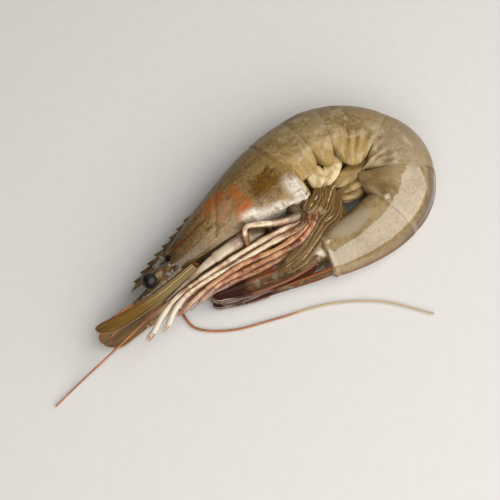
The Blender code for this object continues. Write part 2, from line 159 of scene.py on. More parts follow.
def body_points(s, dorsal=0.0, lateral=0.0):
    """Points in metres, none under the floor, of places given in the animal's directions."""
    s, dorsal, lateral = np.broadcast_arrays(s, dorsal, lateral)
    angle = np.radians(smooth(HEADINGS, s))
    ahead = np.minimum(s - CARAPACE_END, 0)
    x = np.interp(s, LINE_PLACES, LINE[:, 0]) + ahead * np.cos(angle) - dorsal * np.sin(angle)
    y = np.interp(s, LINE_PLACES, LINE[:, 1]) + ahead * np.sin(angle) + dorsal * np.cos(angle)
    z = np.maximum(smooth(PLANE_HEIGHT, s) + lateral, 0)
    return np.stack([x, y, z], axis=-1) * MM


def floor_points(places, height):
    """Points at a height over the floor, counted from the carapace's end."""
    spots = np.array([(*CARAPACE_END_XY, 0)]) + [(x, y, height) for x, y in places]
    return spots * MM


def along_route(points, count):
    """count points along a smooth curve through the given ones, evenly by number."""
    steps = np.linspace(0, len(points) - 1, count)
    tables = [list(enumerate(axis)) for axis in np.array(points).T]
    return np.stack([smooth(table, steps) for table in tables], axis=-1)


print("the tip of the rostrum is at", body_points(ROSTRUM_TIP, 1.0).round(4))

# %% [markdown]
# ## Shader and geometry nodes written as sums
#
# Node trees are quick to draw by hand and slow to read back.  In a script the opposite
# is true, if the maths can be written as maths.  `Value` wraps one output socket and
# gives it the usual operators, so `1 - mask * 0.5` adds its own Math nodes.  `Graph.node`
# adds any other node, and a few short methods name the ones that come up again and again.
# The same two classes serve materials and Geometry Nodes.


# %% Two classes for node trees
class Value:
    """One output of a node, which can stand in sums and comparisons."""

    def __init__(self, graph, socket):
        self.graph, self.socket = graph, socket

    def maths(self, operation, *terms):
        return self.graph.node("ShaderNodeMath", {"operation": operation}, dict(enumerate(terms)))

    def __add__(self, other):
        return self.maths("ADD", self, other)

    def __radd__(self, other):
        return self.maths("ADD", other, self)

    def __sub__(self, other):
        return self.maths("SUBTRACT", self, other)

    def __rsub__(self, other):
        return self.maths("SUBTRACT", other, self)

    def __mul__(self, other):
        return self.maths("MULTIPLY", self, other)

    def __rmul__(self, other):
        return self.maths("MULTIPLY", other, self)

    def __truediv__(self, other):
        return self.maths("DIVIDE", self, other)

    def size(self):
        return self.maths("ABSOLUTE", self)

    def fraction(self):
        return self.maths("FRACT", self)

    def highest(self, other):
        return self.maths("MAXIMUM", self, other)

    def lowest(self, other):
        return self.maths("MINIMUM", self, other)

    def fade(self, low, high):
        """0 up to low and 1 from high on, smooth between; it falls if they are swapped."""
        return self.graph.node(
            "ShaderNodeMapRange",
            {"interpolation_type": "SMOOTHSTEP"},
            {"Value": self, "From Min": low, "From Max": high},
        )

    def hump(self, centre, width):
        """1 at the centre, fading to 0 over about twice the width."""
        off = (self - centre) / width
        return self.maths("EXPONENT", off * off * -1)


class Graph:
    """A node tree that grows by expressions."""

    def __init__(self, tree):
        self.tree = tree

    def node(self, kind, settings=None, sockets=None, output=0):
        """Adds a node, sets it up, then fills or links its sockets.  Gives back one output."""
        made = self.tree.nodes.new(kind)
        for name, value in (settings or {}).items():
            if name == "stops":
                self.set_stops(made, value)
            else:
                setattr(made, name, value)
        for key, value in (sockets or {}).items():
            self.feed(made.inputs[key], value)
        return Value(self, made.outputs[output]) if made.outputs else None

    def set_stops(self, made, stops):
        """The points of a Float Curve node, as (place, value) pairs from 0 to 1."""
        points = made.mapping.curves[0].points
        while len(points) < len(stops):
            points.new(0.5, 0.5)
        for point, stop in zip(points, stops):
            point.location = stop
        made.mapping.update()

    def feed(self, socket, value):
        if isinstance(value, Value):
            self.tree.links.new(value.socket, socket)
        elif socket.type == "RGBA":
            socket.default_value = (*value, 1)
        else:
            socket.default_value = value

    def scaled(self, vector, factors):
        """A vector with each of its parts multiplied."""
        sockets = {0: vector, 1: factors}
        return self.node("ShaderNodeVectorMath", {"operation": "MULTIPLY"}, sockets)

    def vector(self, *parts):
        """A vector of up to three parts, with 0 for the rest."""
        return self.node("ShaderNodeCombineXYZ", {}, dict(enumerate(parts)))

    def parts(self, vector):
        """The x, y and z of a vector."""
        split = self.tree.nodes.new("ShaderNodeSeparateXYZ")
        self.feed(split.inputs[0], vector)
        return [Value(self, out) for out in split.outputs]

    def named(self, name, kind="FLOAT_VECTOR"):
        """An attribute of a geometry, by its name."""
        return self.node("GeometryNodeInputNamedAttribute", {"data_type": kind}, {"Name": name})

    def with_piece(self, geometry, vector):
        """The geometry with a vector stored on its points as the attribute `piece`."""
        return self.node(
            "GeometryNodeStoreNamedAttribute",
            {"data_type": "FLOAT_VECTOR", "domain": "POINT"},
            {"Geometry": geometry, "Name": "piece", "Value": vector},
        )


# %% [markdown]
# ## From numbers to a mesh
#
# Most parts are a grid of points: rows along the part, and columns round it that close on
# themselves.  Two attributes go with each point.  `body` is its place on the animal, and
# `piece` its place on this one part.  Materials read them, so a patch of colour stays
# where it belongs however the body bends.


# %% A closed mesh from a grid
def set_vectors(mesh, name, values):
    """Stores a vector for each point of a mesh."""
    made = mesh.attributes.new(name, "FLOAT_VECTOR", "POINT")
    made.data.foreach_set("vector", np.asarray(values, np.float32).ravel())


def with_caps(grid):
    """The grid's points in a flat list, then the middle of its first row and of its last."""
    flat = grid.reshape(-1, grid.shape[-1])
    return np.vstack([flat, grid[0].mean(axis=0), grid[-1].mean(axis=0)])


def grid_mesh(name, points, body, piece):
    """A closed mesh from rows of points, given as arrays of rows, columns and x, y, z."""
    rows, columns = points.shape[:2]
    index = np.arange(rows * columns).reshape(rows, columns)
    turned = np.roll(index, -1, axis=1)
    quads = np.stack([index[:-1], turned[:-1], turned[1:], index[1:]], axis=-1).reshape(-1, 4)
    first, last = rows * columns, rows * columns + 1
    front = np.stack([np.full(columns, first), turned[0], index[0]], axis=-1)
    rear = np.stack([np.full(columns, last), index[-1], turned[-1]], axis=-1)
    corners = with_caps(points)
    halves = np.vstack([quads[:, :3], quads[:, [0, 2, 3]], front, rear])
    a, b, c = (corners[halves[:, k]] for k in range(3))
    step = 1 if np.einsum("ij,ij", a, np.cross(b, c)) > 0 else -1
    faces = quads[:, ::step].tolist() + front[:, ::step].tolist() + rear[:, ::step].tolist()
    mesh = bpy.data.meshes.new(name)
    mesh.from_pydata(corners.tolist(), [], faces)
    set_vectors(mesh, "body", with_caps(body))
    set_vectors(mesh, "piece", with_caps(piece))
    mesh.shade_smooth()
    return mesh


def outward(points):
    """Unit normals of a grid whose columns run from the back round by the left side."""
    along = np.gradient(points, axis=0)
    across = np.roll(points, -1, axis=1) - np.roll(points, 1, axis=1)
    normal = np.cross(across, along)
    return normal / np.maximum(np.linalg.norm(normal, axis=2, keepdims=True), 1e-12)


def raised(points, height):
    """The grid with each point moved out along its normal, and never under the floor."""
    moved = points + outward(points) * height[..., None] * MM
    moved[..., 2] = np.maximum(moved[..., 2], 0)
    return moved


# %% [markdown]
# ## Geometry Nodes that do the repeated work
#
# Three small trees serve the whole animal.  *limb* turns a bare line into a jointed limb
# or a ringed feeler.  *fringe* stands a hair on each of a row of points.  *skin* makes a
# smooth shell slightly uneven.  Each gets its sizes from named inputs, ends in Realize
# Instances and Set Material, and its result becomes a plain mesh straight away.


# %% Making and running a tree
def new_tree(name, inputs):
    """A Geometry Nodes tree with a mesh in and out, and more inputs by name and kind."""
    tree = bpy.data.node_groups.new(name, "GeometryNodeTree")
    tree.interface.new_socket("Geometry", in_out="OUTPUT", socket_type="NodeSocketGeometry")
    tree.interface.new_socket("Geometry", in_out="INPUT", socket_type="NodeSocketGeometry")
    for label, kind in inputs.items():
        tree.interface.new_socket(label, in_out="INPUT", socket_type="NodeSocket" + kind)
    graph = Graph(tree)
    source = tree.nodes.new("NodeGroupInput")
    return graph, {out.name: Value(graph, out) for out in source.outputs if out.name}


def end_tree(graph, geometry, material):
    """Closes a tree: instances become a real mesh, which gets its material."""
    real = graph.node("GeometryNodeRealizeInstances", {}, {"Geometry": geometry})
    dressed = graph.node("GeometryNodeSetMaterial", {}, {"Geometry": real, "Material": material})
    graph.node("NodeGroupOutput", {}, {"Geometry": dressed})
    return graph.tree


def run_tree(tree, mesh, settings):
    """The plain mesh that a tree makes from another.  Inputs are set by identifier."""
    names = {
        item.name: item.identifier
        for item in tree.interface.items_tree
        if item.item_type == "SOCKET" and item.in_out == "INPUT"
    }
    holder = bpy.data.objects.new(mesh.name, mesh)
    bpy.context.scene.collection.objects.link(holder)
    modifier = holder.modifiers.new(tree.name, "NODES")
    modifier.node_group = tree
    for label, value in settings.items():
        modifier[names[label]] = value
    evaluated = holder.evaluated_get(bpy.context.evaluated_depsgraph_get())
    made = bpy.data.meshes.new_from_object(evaluated)
    bpy.data.objects.remove(holder)
    return made


# %% [markdown]
# ### limb
#
# A leg is a row of joints, each slim where it starts and wider where it ends, with soft
# skin between two of them.  A feeler is the same thing with many tiny joints.  So one
# curve of thickness, repeated along the line, gives both.  It multiplies a thickness that
# each point of the line brings along, and so does the number of joints, so that one mesh
# of several lines can hold a leg together with the two fingers of its claw.

# %% The limb tree
JOINT_PROFILE = (
    (0, 0.70), (0.05, 0.86), (0.2, 0.90), (0.6, 0.88), (0.9, 1.0), (0.97, 0.98), (1, 0.70),
)


def limb_tree():
    """Line to limb: a round profile that swells and narrows once for each joint."""
    inputs = {"Rings": "Int", "Sides": "Int", "Flatness": "Float", "Material": "Material"}
    graph, given = new_tree("limb", inputs)
    line = graph.node("GeometryNodeMeshToCurve", {}, {"Mesh": given["Geometry"]})
    line = graph.node("GeometryNodeResampleCurve", {}, {"Curve": line, "Count": given["Rings"]})
    line = graph.node("GeometryNodeSetCurveNormal", {"mode": "Z_UP"}, {"Curve": line})
    along = graph.node("GeometryNodeSplineParameter")
    joint = (along * graph.named("joints", "FLOAT") * 0.9999).fraction()
    swell = graph.node("ShaderNodeFloatCurve", {"stops": JOINT_PROFILE}, {"Value": joint})
    line = graph.with_piece(line, graph.vector(along, joint))
    sockets = {"Resolution": given["Sides"], "Radius": 1.0}
    circle = graph.node("GeometryNodeCurvePrimitiveCircle", {}, sockets)
    flat = graph.vector(1.0, given["Flatness"], 1.0)
    circle = graph.node("GeometryNodeTransform", {}, {"Geometry": circle, "Scale": flat})
    thick = graph.named("thick", "FLOAT") * swell
    sockets = {"Curve": line, "Profile Curve": circle, "Scale": thick, "Fill Caps": True}
    skin = graph.node("GeometryNodeCurveToMesh", {}, sockets)
    skin = graph.node("GeometryNodeSetShadeSmooth", {}, {"Geometry": skin})
    upness = graph.parts(graph.node("GeometryNodeInputNormal"))[2]
    along, joint, _ = graph.parts(graph.named("piece"))
    skin = graph.with_piece(skin, graph.vector(along, joint, upness))
    return end_tree(graph, skin, given["Material"])


LIMB = limb_tree()
print("made the tree", LIMB.name)


def strands_mesh(name, strands):
    """Bare lines for the limb tree.  Each strand is (points, radii in mm, joints, places)."""
    points = np.vstack([strand[0] for strand in strands])
    edges, first = [], 0
    for strand in strands:
        last = first + len(strand[0])
        edges += [(k, k + 1) for k in range(first, last - 1)]
        first = last
    mesh = bpy.data.meshes.new(name)
    mesh.from_pydata(points.tolist(), edges, [])
    set_vectors(mesh, "body", np.vstack([strand[3] for strand in strands]))
    thick = np.concatenate([np.asarray(strand[1]) * MM for strand in strands])
    joints = np.concatenate([np.full(len(strand[0]), strand[2]) for strand in strands])
    for label, values in (("thick", thick), ("joints", joints)):
        made = mesh.attributes.new(label, "FLOAT", "POINT")
        made.data.foreach_set("value", values.astype(np.float32))
    return mesh


# %% [markdown]
# ### fringe
#
# The edges of the tail, the paddles and the feelers' scales carry rows of fine hairs.
# Each is one thin pyramid, instanced on a point that knows which way its hair grows.  A
# seed scatters lengths and directions a little, the same way on every run.  Three sides
# are enough, as there are thousands of hairs and none is wider than a tenth of a mm.

# %% The fringe tree
HAIR_SIDES = 3


def fringe_tree():
    """Points to hairs: thin pyramids that lean and vary a little."""
    inputs = {"Length": "Float", "Thickness": "Float", "Spread": "Float", "Seed": "Int"}
    graph, given = new_tree("fringe", {**inputs, "Material": "Material"})
    sockets = {"Vertices": HAIR_SIDES, "Depth": 1.0}
    sockets |= {"Radius Top": 0.0, "Radius Bottom": given["Thickness"]}
    hair = graph.node("GeometryNodeMeshCone", {"fill_type": "TRIANGLE_FAN"}, sockets)
    height = graph.parts(graph.node("GeometryNodeInputPosition"))[2]
    hair = graph.with_piece(hair, graph.vector(height))
    seed = {"Seed": given["Seed"]}
    stray = graph.node(
        "FunctionNodeRandomValue",
        {"data_type": "FLOAT_VECTOR"},
        {"Min": (-1.0, -1.0, -1.0), "Max": (1.0, 1.0, 1.0), **seed},
    )
    spread = graph.vector(given["Spread"], given["Spread"], given["Spread"])
    sockets = {0: stray, 1: spread, 2: graph.named("way")}
    way = graph.node("ShaderNodeVectorMath", {"operation": "MULTIPLY_ADD"}, sockets)
    turn = graph.node("FunctionNodeAlignRotationToVector", {"axis": "Z"}, {"Vector": way})
    share = graph.node("FunctionNodeRandomValue", {}, {2: 0.6, 3: 1.0, **seed}, 1)
    scale = graph.vector(1.0, 1.0, share * given["Length"])
    hairs = graph.node(
        "GeometryNodeInstanceOnPoints",
        {},
        {"Points": given["Geometry"], "Instance": hair, "Rotation": turn, "Scale": scale},
    )
    return end_tree(graph, hairs, given["Material"])


FRINGE = fringe_tree()
print("made the tree", FRINGE.name)


def roots_mesh(name, roots):
    """Bare points for the fringe tree.  Each root is a row of (points, ways)."""
    mesh = bpy.data.meshes.new(name)
    mesh.from_pydata(np.vstack([points for points, _ in roots]).tolist(), [], [])
    set_vectors(mesh, "way", np.vstack([ways for _, ways in roots]))
    return mesh


# %% [markdown]
# ### skin
#
# No shell is perfectly smooth.  A noise that is stretched in the body's own directions
# moves the surface in and out by a few hundredths of a millimetre, so that the wet
# highlights break up.  It does less close to the floor, where the shell is pressed flat.

# %% The skin tree
PRESSED = 0.0012        # the height, in metres, under which the shell is pressed smooth


def skin_tree():
    """Shell to uneven shell: each point moves along its normal by a stretched noise."""
    inputs = {"Depth": "Float", "Grain": "Vector", "Seed": "Float", "Material": "Material"}
    graph, given = new_tree("skin", inputs)
    place = graph.scaled(graph.named("body"), given["Grain"])
    sockets = {"Vector": place, "W": given["Seed"], "Scale": 1.0, "Detail": 3.0}
    noise = graph.node("ShaderNodeTexNoise", {"noise_dimensions": "4D"}, sockets)
    height = graph.parts(graph.node("GeometryNodeInputPosition"))[2]
    push = (noise - 0.5) * 2 * given["Depth"] * (height / PRESSED).lowest(1.0)
    offset = graph.scaled(graph.node("GeometryNodeInputNormal"), graph.vector(push, push, push))
    sockets = {"Geometry": given["Geometry"], "Offset": offset}
    moved = graph.node("GeometryNodeSetPosition", {}, sockets)
    return end_tree(graph, moved, given["Material"])


SKIN = skin_tree()
print("made the tree", SKIN.name)

# %% [markdown]
# ## Wet shell, and how a finish is put together
#
# Every surface here is wet.  That takes two layers: a soft, slightly rough one with the
# colour, and a clear coat over it that holds the sharp reflections.  `Finish` starts such
# a material.  Numbers that are the same all over go straight on the shader's sockets, and
# only colour, roughness, the coat's strength and the bump vary over the surface.


# %% The class for finishes
class Finish(Graph):
    """A wet material: one Principled shader, whose inputs are written as expressions."""

    def __init__(self, name, coat_roughness=0.06, soft=0.10, coat_ior=1.6):
        self.material = bpy.data.materials.new(name)
        self.material.use_nodes = True
        super().__init__(self.material.node_tree)
        self.shader = self.tree.nodes["Principled BSDF"]
        self.body = self.attribute("body")
        self.piece = self.attribute("piece")
        self.object = self.node("ShaderNodeTexCoord", output=3)
        even = {"Coat Roughness": coat_roughness, "Coat IOR": coat_ior, "Specular IOR Level": 0.15}
        even |= {"Subsurface Weight": soft, "Subsurface Scale": 0.001}
        for label, value in even.items():
            self.shader.inputs[label].default_value = value
        self.shader.inputs["Subsurface Radius"].default_value = (1.0, 0.55, 0.25)

    def attribute(self, name):
        return self.node("ShaderNodeAttribute", {"attribute_name": name}, output=1)

    def mix(self, mask, under, over):
        """One colour laid over another where the mask is 1."""
        sockets = {"Factor": mask, 6: under, 7: over}
        return self.node("ShaderNodeMix", {"data_type": "RGBA"}, sockets, 2)

    def noise(self, vector, scale, detail=2.0, warp=0.0):
        sockets = {"Vector": vector, "Scale": scale, "Detail": detail, "Distortion": warp}
        return self.node("ShaderNodeTexNoise", {}, sockets)

    def dots(self, vector, per_mm, radius, share):
        """Round spots in a share of the cells of a random tiling, 1 inside and 0 outside."""
        cells = self.node("ShaderNodeTexVoronoi", {}, {"Vector": vector, "Scale": per_mm})
        chance = self.parts(Value(self, cells.socket.node.outputs["Color"]))[0]
        return cells.fade(radius, radius * 0.45) * chance.fade(1 - share, 1.04 - share)

    def coat(self, colour, roughness, wetness, height, depth):
        """Plugs in what varies, with the height in shares of a depth in metres."""
        self.feed(self.shader.inputs["Base Color"], colour)
        self.feed(self.shader.inputs["Roughness"], roughness)
        self.feed(self.shader.inputs["Coat Weight"], wetness)
        bump = self.node("ShaderNodeBump", {}, {"Distance": depth, "Height": height})
        self.feed(self.shader.inputs["Normal"], bump)
        return self.material


PIECES = bpy.data.collections.new("raw_shrimp")
bpy.context.scene.collection.children.link(PIECES)


def add_piece(name, mesh, slot, *nodes):
    """Links a finished mesh as a piece that stands for some of the plain solids."""
    piece = bpy.data.objects.new(name, mesh)
    PIECES.objects.link(piece)
    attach(piece, "root")
    if nodes:
        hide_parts(*nodes)
    print(f"{piece.name}: {len(mesh.loop_triangles)} triangles")


# %% [markdown]
# ## Finishes that follow the body
#
# A shell is coloured in patches, and no patch has a clean edge.  Each is a mask in the
# body's own coordinates.  A slow noise is added to those coordinates first, which frays
# the edges of all masks in the same way.  The finishes of both shells start like this.

# %% The class for shell finishes
class ShellFinish(Finish):
    """A finish that knows its place on the body, both exact and with a ragged stray."""

    STRAY = 5.0

    def __init__(self, name, patches_per_mm, fine, **coat):
        super().__init__(name, **coat)
        self.s, self.dorsal, self.lateral = self.parts(self.body)
        self.broad = self.noise(self.body, patches_per_mm, 3.0)
        self.fine = self.noise(self.body, *fine)
        self.stray = self.broad - 0.5
        self.ragged_s = self.s + self.stray * self.STRAY
        self.ragged_d = self.dorsal + self.stray * self.STRAY


# %% [markdown]
# ## The ground colours of the head
#
# The carapace is a warm grey-tan shell that what lies under it shows through.  Fibres
# run along its front half, an ochre tint covers the rear of the flank, and the gut makes
# an olive field there, with dark squiggles in it.

# %% Head ground
def head_ground(shell, fibres):
    s, ragged_s, ragged_d = shell.s, shell.ragged_s, shell.ragged_d
    colour = shell.mix(shell.fine.fade(0.3, 0.7), (0.150, 0.090, 0.030), (0.250, 0.165, 0.068))
    dark_fibres = fibres.fade(0.5, 0.7) * s.fade(40, 30)
    colour = shell.mix(dark_fibres * 0.6, colour, (0.080, 0.042, 0.013))
    ochre = ragged_s.fade(34, 40) * ragged_d.fade(4.5, 1.5)
    colour = shell.mix(ochre * 0.7, colour, (0.240, 0.155, 0.050))
    olive = ragged_s.hump(38.8, 4.2) * ragged_d.hump(-2.2, 3.6)
    colour = shell.mix(olive.fade(0.25, 0.7), colour, (0.130, 0.062, 0.005))
    squiggle = shell.noise(shell.body, 0.7, 3.0, 1.5).hump(0.5, 0.035)
    return shell.mix(squiggle * olive.fade(0.15, 0.4) * 0.85, colour, (0.055, 0.028, 0.006))


# %% [markdown]
# ## The blotch over the liver
#
# The most striking mark on the animal is a salmon blotch, like three petals round a pink
# middle.  Each petal is a hump along the body times a hump across it, the strongest of
# the three wins, and where it is strongest the fine noise adds hot orange spots.

# %% Liver blotch
def liver_blotch(shell, colour):
    ragged_s, ragged_d = shell.ragged_s, shell.ragged_d
    pink = ragged_s.hump(27.2, 3.2) * ragged_d.hump(0.0, 2.4)
    colour = shell.mix(pink.fade(0.2, 0.8) * 0.8, colour, (0.29, 0.155, 0.080))
    upper_lobe = ragged_s.hump(27.4, 3.4) * ragged_d.hump(3.2, 1.9)
    bridge = ragged_s.hump(32.2, 1.9) * ragged_d.hump(0.8, 3.0) * 0.8
    lower_lobe = ragged_s.hump(31.2, 2.8) * ragged_d.hump(-3.0, 1.9)
    orange = upper_lobe.highest(bridge).highest(lower_lobe)
    colour = shell.mix(orange.fade(0.12, 0.85) * 0.9, colour, (0.310, 0.092, 0.020))
    hot = shell.fine.fade(0.5, 0.6) * orange.fade(0.5, 0.9)
    return shell.mix(hot * 0.8, colour, (0.38, 0.090, 0.015))


# %% [markdown]
# ## The gill cover and the front of the head
#
# Low on the side the gills show pale grey, up to a slanting line, made paler by a painted reflection, and
# the lower corner behind is a nearly white painted highlight, with brown pits.  Towards the eyes the
# shell turns dark brown, with lighter strands and small grey painted glints, and a red groove runs back
# from the eye.

# %% Gill cover and front
def gill_cover(shell, colour):
    """Lays on the pale parts, partly painted reflection and highlight, and also gives the masks of the
    gills and of the corner.
    """
    s, ragged_s, ragged_d = shell.s, shell.ragged_s, shell.ragged_d
    slanting = shell.dorsal + (s - 31.5) * 0.42 + shell.stray * 2
    # The gills' own pale grey, made paler still by a painted reflection.
    gills_and_painted_sheen = ragged_s.fade(28.5, 32) * slanting.fade(-3.4, -4.8)
    colour = shell.mix(gills_and_painted_sheen * 0.92, colour, (0.60, 0.54, 0.45))
    cheek = ragged_s.fade(17, 21) * ragged_s.fade(30, 26) * ragged_d.fade(-3.0, -5.0)
    colour = shell.mix(cheek * 0.75, colour, (0.30, 0.235, 0.155))
    # The nearly white rear lower corner is a painted highlight, broken by brown pits.
    painted_highlight_corner = s.fade(40.5, 43.5) * ragged_d.fade(-3.0, -6.0)
    colour = shell.mix(painted_highlight_corner * 0.8, colour, (0.52, 0.47, 0.40))
    pits = shell.noise(shell.body, 0.55, 2.5, 0.8).fade(0.44, 0.36)
    pits = pits * painted_highlight_corner.highest(gills_and_painted_sheen * 0.6)
    return shell.mix(pits * 0.85, colour, (0.15, 0.085, 0.026)), gills_and_painted_sheen, painted_highlight_corner


def head_front(shell, colour):
    """Lays on the dark front, the groove, the specks and small painted glints, and also gives the front's
    mask.
    """
    s, ragged_s = shell.s, shell.ragged_s
    front = ragged_s.fade(24, 12)
    colour = shell.mix(front * 0.85, colour, (0.040, 0.021, 0.007))
    strands = shell.noise(shell.object, 700.0, 3.0, 0.8)
    colour = shell.mix(front * strands.fade(0.48, 0.6) * 0.8, colour, (0.150, 0.085, 0.028))
    # Small grey painted glints near the eyes.
    painted_glints = shell.noise(shell.object, 900.0, 2.0, 1.2)
    colour = shell.mix(ragged_s.fade(14, 9) * painted_glints.fade(0.62, 0.70), colour, (0.22, 0.22, 0.22))
    groove = (shell.dorsal + shell.stray * 0.8 - 1.2).hump(0, 0.3) * s.fade(9, 12) * s.fade(26, 22)
    colour = shell.mix(groove * 0.85, colour, (0.115, 0.020, 0.005))
    specks = shell.dots(shell.body, 1.5, 0.26, 0.45)
    return shell.mix(specks * 0.45, colour, (0.035, 0.020, 0.010)), front


def head_shell():
    shell = ShellFinish("wet_head_shell", 0.45, (1.8, 4.0), coat_roughness=0.10)
    fibres = shell.noise(shell.scaled(shell.body, (0.22, 1.3, 1.3)), 1.0, 4.0, 0.5)
    colour = liver_blotch(shell, head_ground(shell, fibres))
    colour, gills_and_painted_sheen, painted_highlight_corner = gill_cover(shell, colour)
    colour, front = head_front(shell, colour)
    height = shell.fine * 0.5 + fibres * 0.9 + shell.noise(shell.body, 0.8, 2.0) * 0.8
    wet = 0.22 + (gills_and_painted_sheen * 0.6).highest(painted_highlight_corner * 0.7).highest(front * 0.3)
    return shell.coat(colour, 0.36 + shell.fine * 0.2, wet, height, 0.00025)


HEAD_SHELL = head_shell()
print("made", HEAD_SHELL.name)

# %% [markdown]
# ## The shell's cross-section
#
# Cut across, the body has a rounded back, a flatter belly, and on the abdomen a flap that
# hangs down on each side.  One formula gives all of it from the three tables.  The angle
# runs from the back round by the left side, and its steps are spaced so that the columns
# of the mesh come out evenly wide.  Where the head ends, the edges lean forward a little
# towards the back, as those of the real shell do.


# %% The outline across the body
def outline(s, around, grow=0.0, drop=0.0, crest=2.0):
    """(dorsal, lateral) of the shell, in mm, at places along it and angles round it."""
    up, down = smooth(DORSAL, s) + grow, smooth(VENTRAL, s) + grow
    wide = smooth(HALF_WIDTH, s) + grow
    back, side = np.cos(around), np.sin(around)
    flap = np.clip(1 - ((np.abs(side) - 0.62) / 0.34) ** 2, 0, None)
    above = up * np.clip(back, 0, None) ** (2 / crest)
    below = -down * np.clip(-back, 0, None) ** 0.72 - drop * flap
    return np.where(back >= 0, above, below), wide * np.sign(side) * np.abs(side) ** 0.86


def even_angles(columns):
    """Angles that cut the outline at mid carapace into even lengths."""
    angles = np.linspace(0, 2 * np.pi, 4001)
    cut = np.stack(outline(40.0, angles), axis=-1)
    run = np.concatenate([[0], np.cumsum(np.linalg.norm(np.diff(cut, axis=0), axis=1))])
    return np.interp(np.linspace(0, run[-1], columns + 1)[:-1], run, angles)


SHELL_COLUMNS = 184
AROUND = even_angles(SHELL_COLUMNS)
FROM_BACK = np.degrees(np.minimum(AROUND, 2 * np.pi - AROUND))
EDGE_LEAN = 0.09
LEANING = ((30, 0), (44, 1), (47, 1), (60, 0))
print("the outline's columns are", round(np.degrees(np.diff(AROUND)).max(), 1), "degrees or less")


def shell_grid(rows, shift=0.0, drop=0.0, crest=2.0):
    """Points and body places for rows of (s, grow), shifted along the body by an array."""
    s, grow = np.array(rows).T[..., None]
    s = s + shift
    dorsal, lateral = outline(s, AROUND[None], grow, drop, crest)
    s = s - EDGE_LEAN * smooth(LEANING, s) * dorsal
    s, dorsal, lateral = np.broadcast_arrays(s, dorsal, lateral)
    return body_points(s, dorsal, lateral), np.stack([s, dorsal, lateral], axis=-1)


# %% [markdown]
# ## The carapace
#
# One stiff shell covers the head and chest.  Its front edge is notched for the eye and
# has a spine below it, a groove runs down from the back to the cheek, the gill cover
# swells behind that, and the rear edge is a raised rim.  All are added to the smooth
# outline as heights, because a height that is written as a formula is easy to move.

# %% Carapace
CARAPACE_LIP = [
    (45.12, -0.05), (45.15, -0.15), (45.05, -0.28), (44.5, -0.45), (43.4, -0.9), (42, -1.7),
]
CARAPACE_MOUTH = [
    (14.5, -2.3), (13.7, -1.9), (12.7, -1.4), (11.8, -0.9), (11.3, -0.5), (11.05, -0.25),
]
CARAPACE_PITCH = 0.2
FREE_EDGE = 150.0       # in degrees from the back


def carapace_relief(s, dorsal, lateral):
    """Heights in mm of the ridges, grooves and swellings of the carapace."""
    high = dorsal / smooth(DORSAL, s)
    rear_rim = 0.28 * hump(s, 44.5, 0.5) - 0.22 * hump(s, 43.4, 0.5)
    gill_swelling = hump(s, 36, 6.5) * hump(dorsal, -4.5, 3.2)
    cheek_groove = hump(s, 25.0 + 0.8 * dorsal, 0.75) * fade(dorsal, -4, -2.5) * fade(high, 0.95, 0.6)
    gill_groove = hump(dorsal, -2.8, 0.6) * hump(s, 19, 4)
    cheek_spine = hump(s, 22.2, 0.5) * hump(dorsal, -1.3, 0.4)
    beside_crest = hump(np.abs(lateral), 1.5, 0.45) * fade(high, 0.4, 0.7) * fade(s, 34, 22)
    back_line = hump(high, 0.55, 0.06) * fade(s, 28, 33) * fade(s, 44, 41)
    wrinkle = np.sin(2.1 * s + 1.3 * dorsal) * np.sin(1.9 * dorsal - 0.8 * s)
    wrinkle = wrinkle * hump(s, 42, 5) * hump(dorsal, -6.5, 2.5)
    raised_parts = rear_rim + 0.45 * gill_swelling + 0.7 * cheek_spine + 0.13 * wrinkle
    grooves = 0.28 * cheek_groove + 0.3 * gill_groove + 0.35 * beside_crest + 0.12 * back_line
    return raised_parts - grooves


def carapace_hem():
    """How the front edge is notched and spined, in mm along the body for each column."""
    eye_notch = 1.0 * hump(FROM_BACK, 66, 16)
    spine = -1.3 * hump(FROM_BACK, 103, 4)
    cheek = 0.7 * hump(FROM_BACK, 122, 11) - 0.6 * hump(FROM_BACK, 146, 9)
    return eye_notch + spine + cheek


def lower_edge(s):
    """Heights in mm of the bead along the gill cover's free edge, and of the step inside."""
    bead = 0.18 * hump(FROM_BACK, FREE_EDGE, 3)
    step = 0.7 * fade(FROM_BACK, FREE_EDGE, FREE_EDGE + 5)
    return (bead - step) * fade(s, 13.5, 18.5)


def visible_rows(hidden_before, visible, hidden_after):
    """A column with 1 for each visible row and 0 for the rows that are tucked in."""
    return np.repeat([0.0, 1.0, 0.0], [hidden_before, visible, hidden_after])[:, None]


def carapace():
    places = np.arange(ORBIT, CARAPACE_END + 0.05, CARAPACE_PITCH)
    outer = [(s, -0.2 * (1 - fade(s, ORBIT, ORBIT + 1.5))) for s in places]
    rows = CARAPACE_MOUTH + outer + CARAPACE_LIP
    s = np.array(rows)[:, :1]
    shift = carapace_hem()[None] * fade(s, ORBIT + 4.5, ORBIT + 0.3)
    points, body = shell_grid(rows, shift, crest=1.75)
    outside = visible_rows(len(CARAPACE_MOUTH), len(outer), len(CARAPACE_LIP))
    height = outside * (carapace_relief(*np.moveaxis(body, -1, 0)) + lower_edge(s))
    piece = np.stack(np.broadcast_arrays(s / CARAPACE_END, FROM_BACK / 180, outside), axis=-1)
    mesh = grid_mesh("carapace_shell", raised(points, height), body, piece)
    settings = {"Depth": 0.00009, "Grain": (0.35, 0.5, 0.5), "Seed": 1.0, "Material": HEAD_SHELL}
    add_piece("carapace_shell", run_tree(SKIN, mesh, settings), "head_shell", "carapace")


carapace()

# %% [markdown]
# ## The rostrum
#
# A blade like a saw stands on the head's middle line and reaches out past the eyes, with
# eight teeth above and two small ones below.  It could be cut out flat and thickened, but
# a grid that wraps round the blade can also be thick along its middle and thin at its
# edges.  A tooth is a steep step up followed by a long slope down towards the tail.

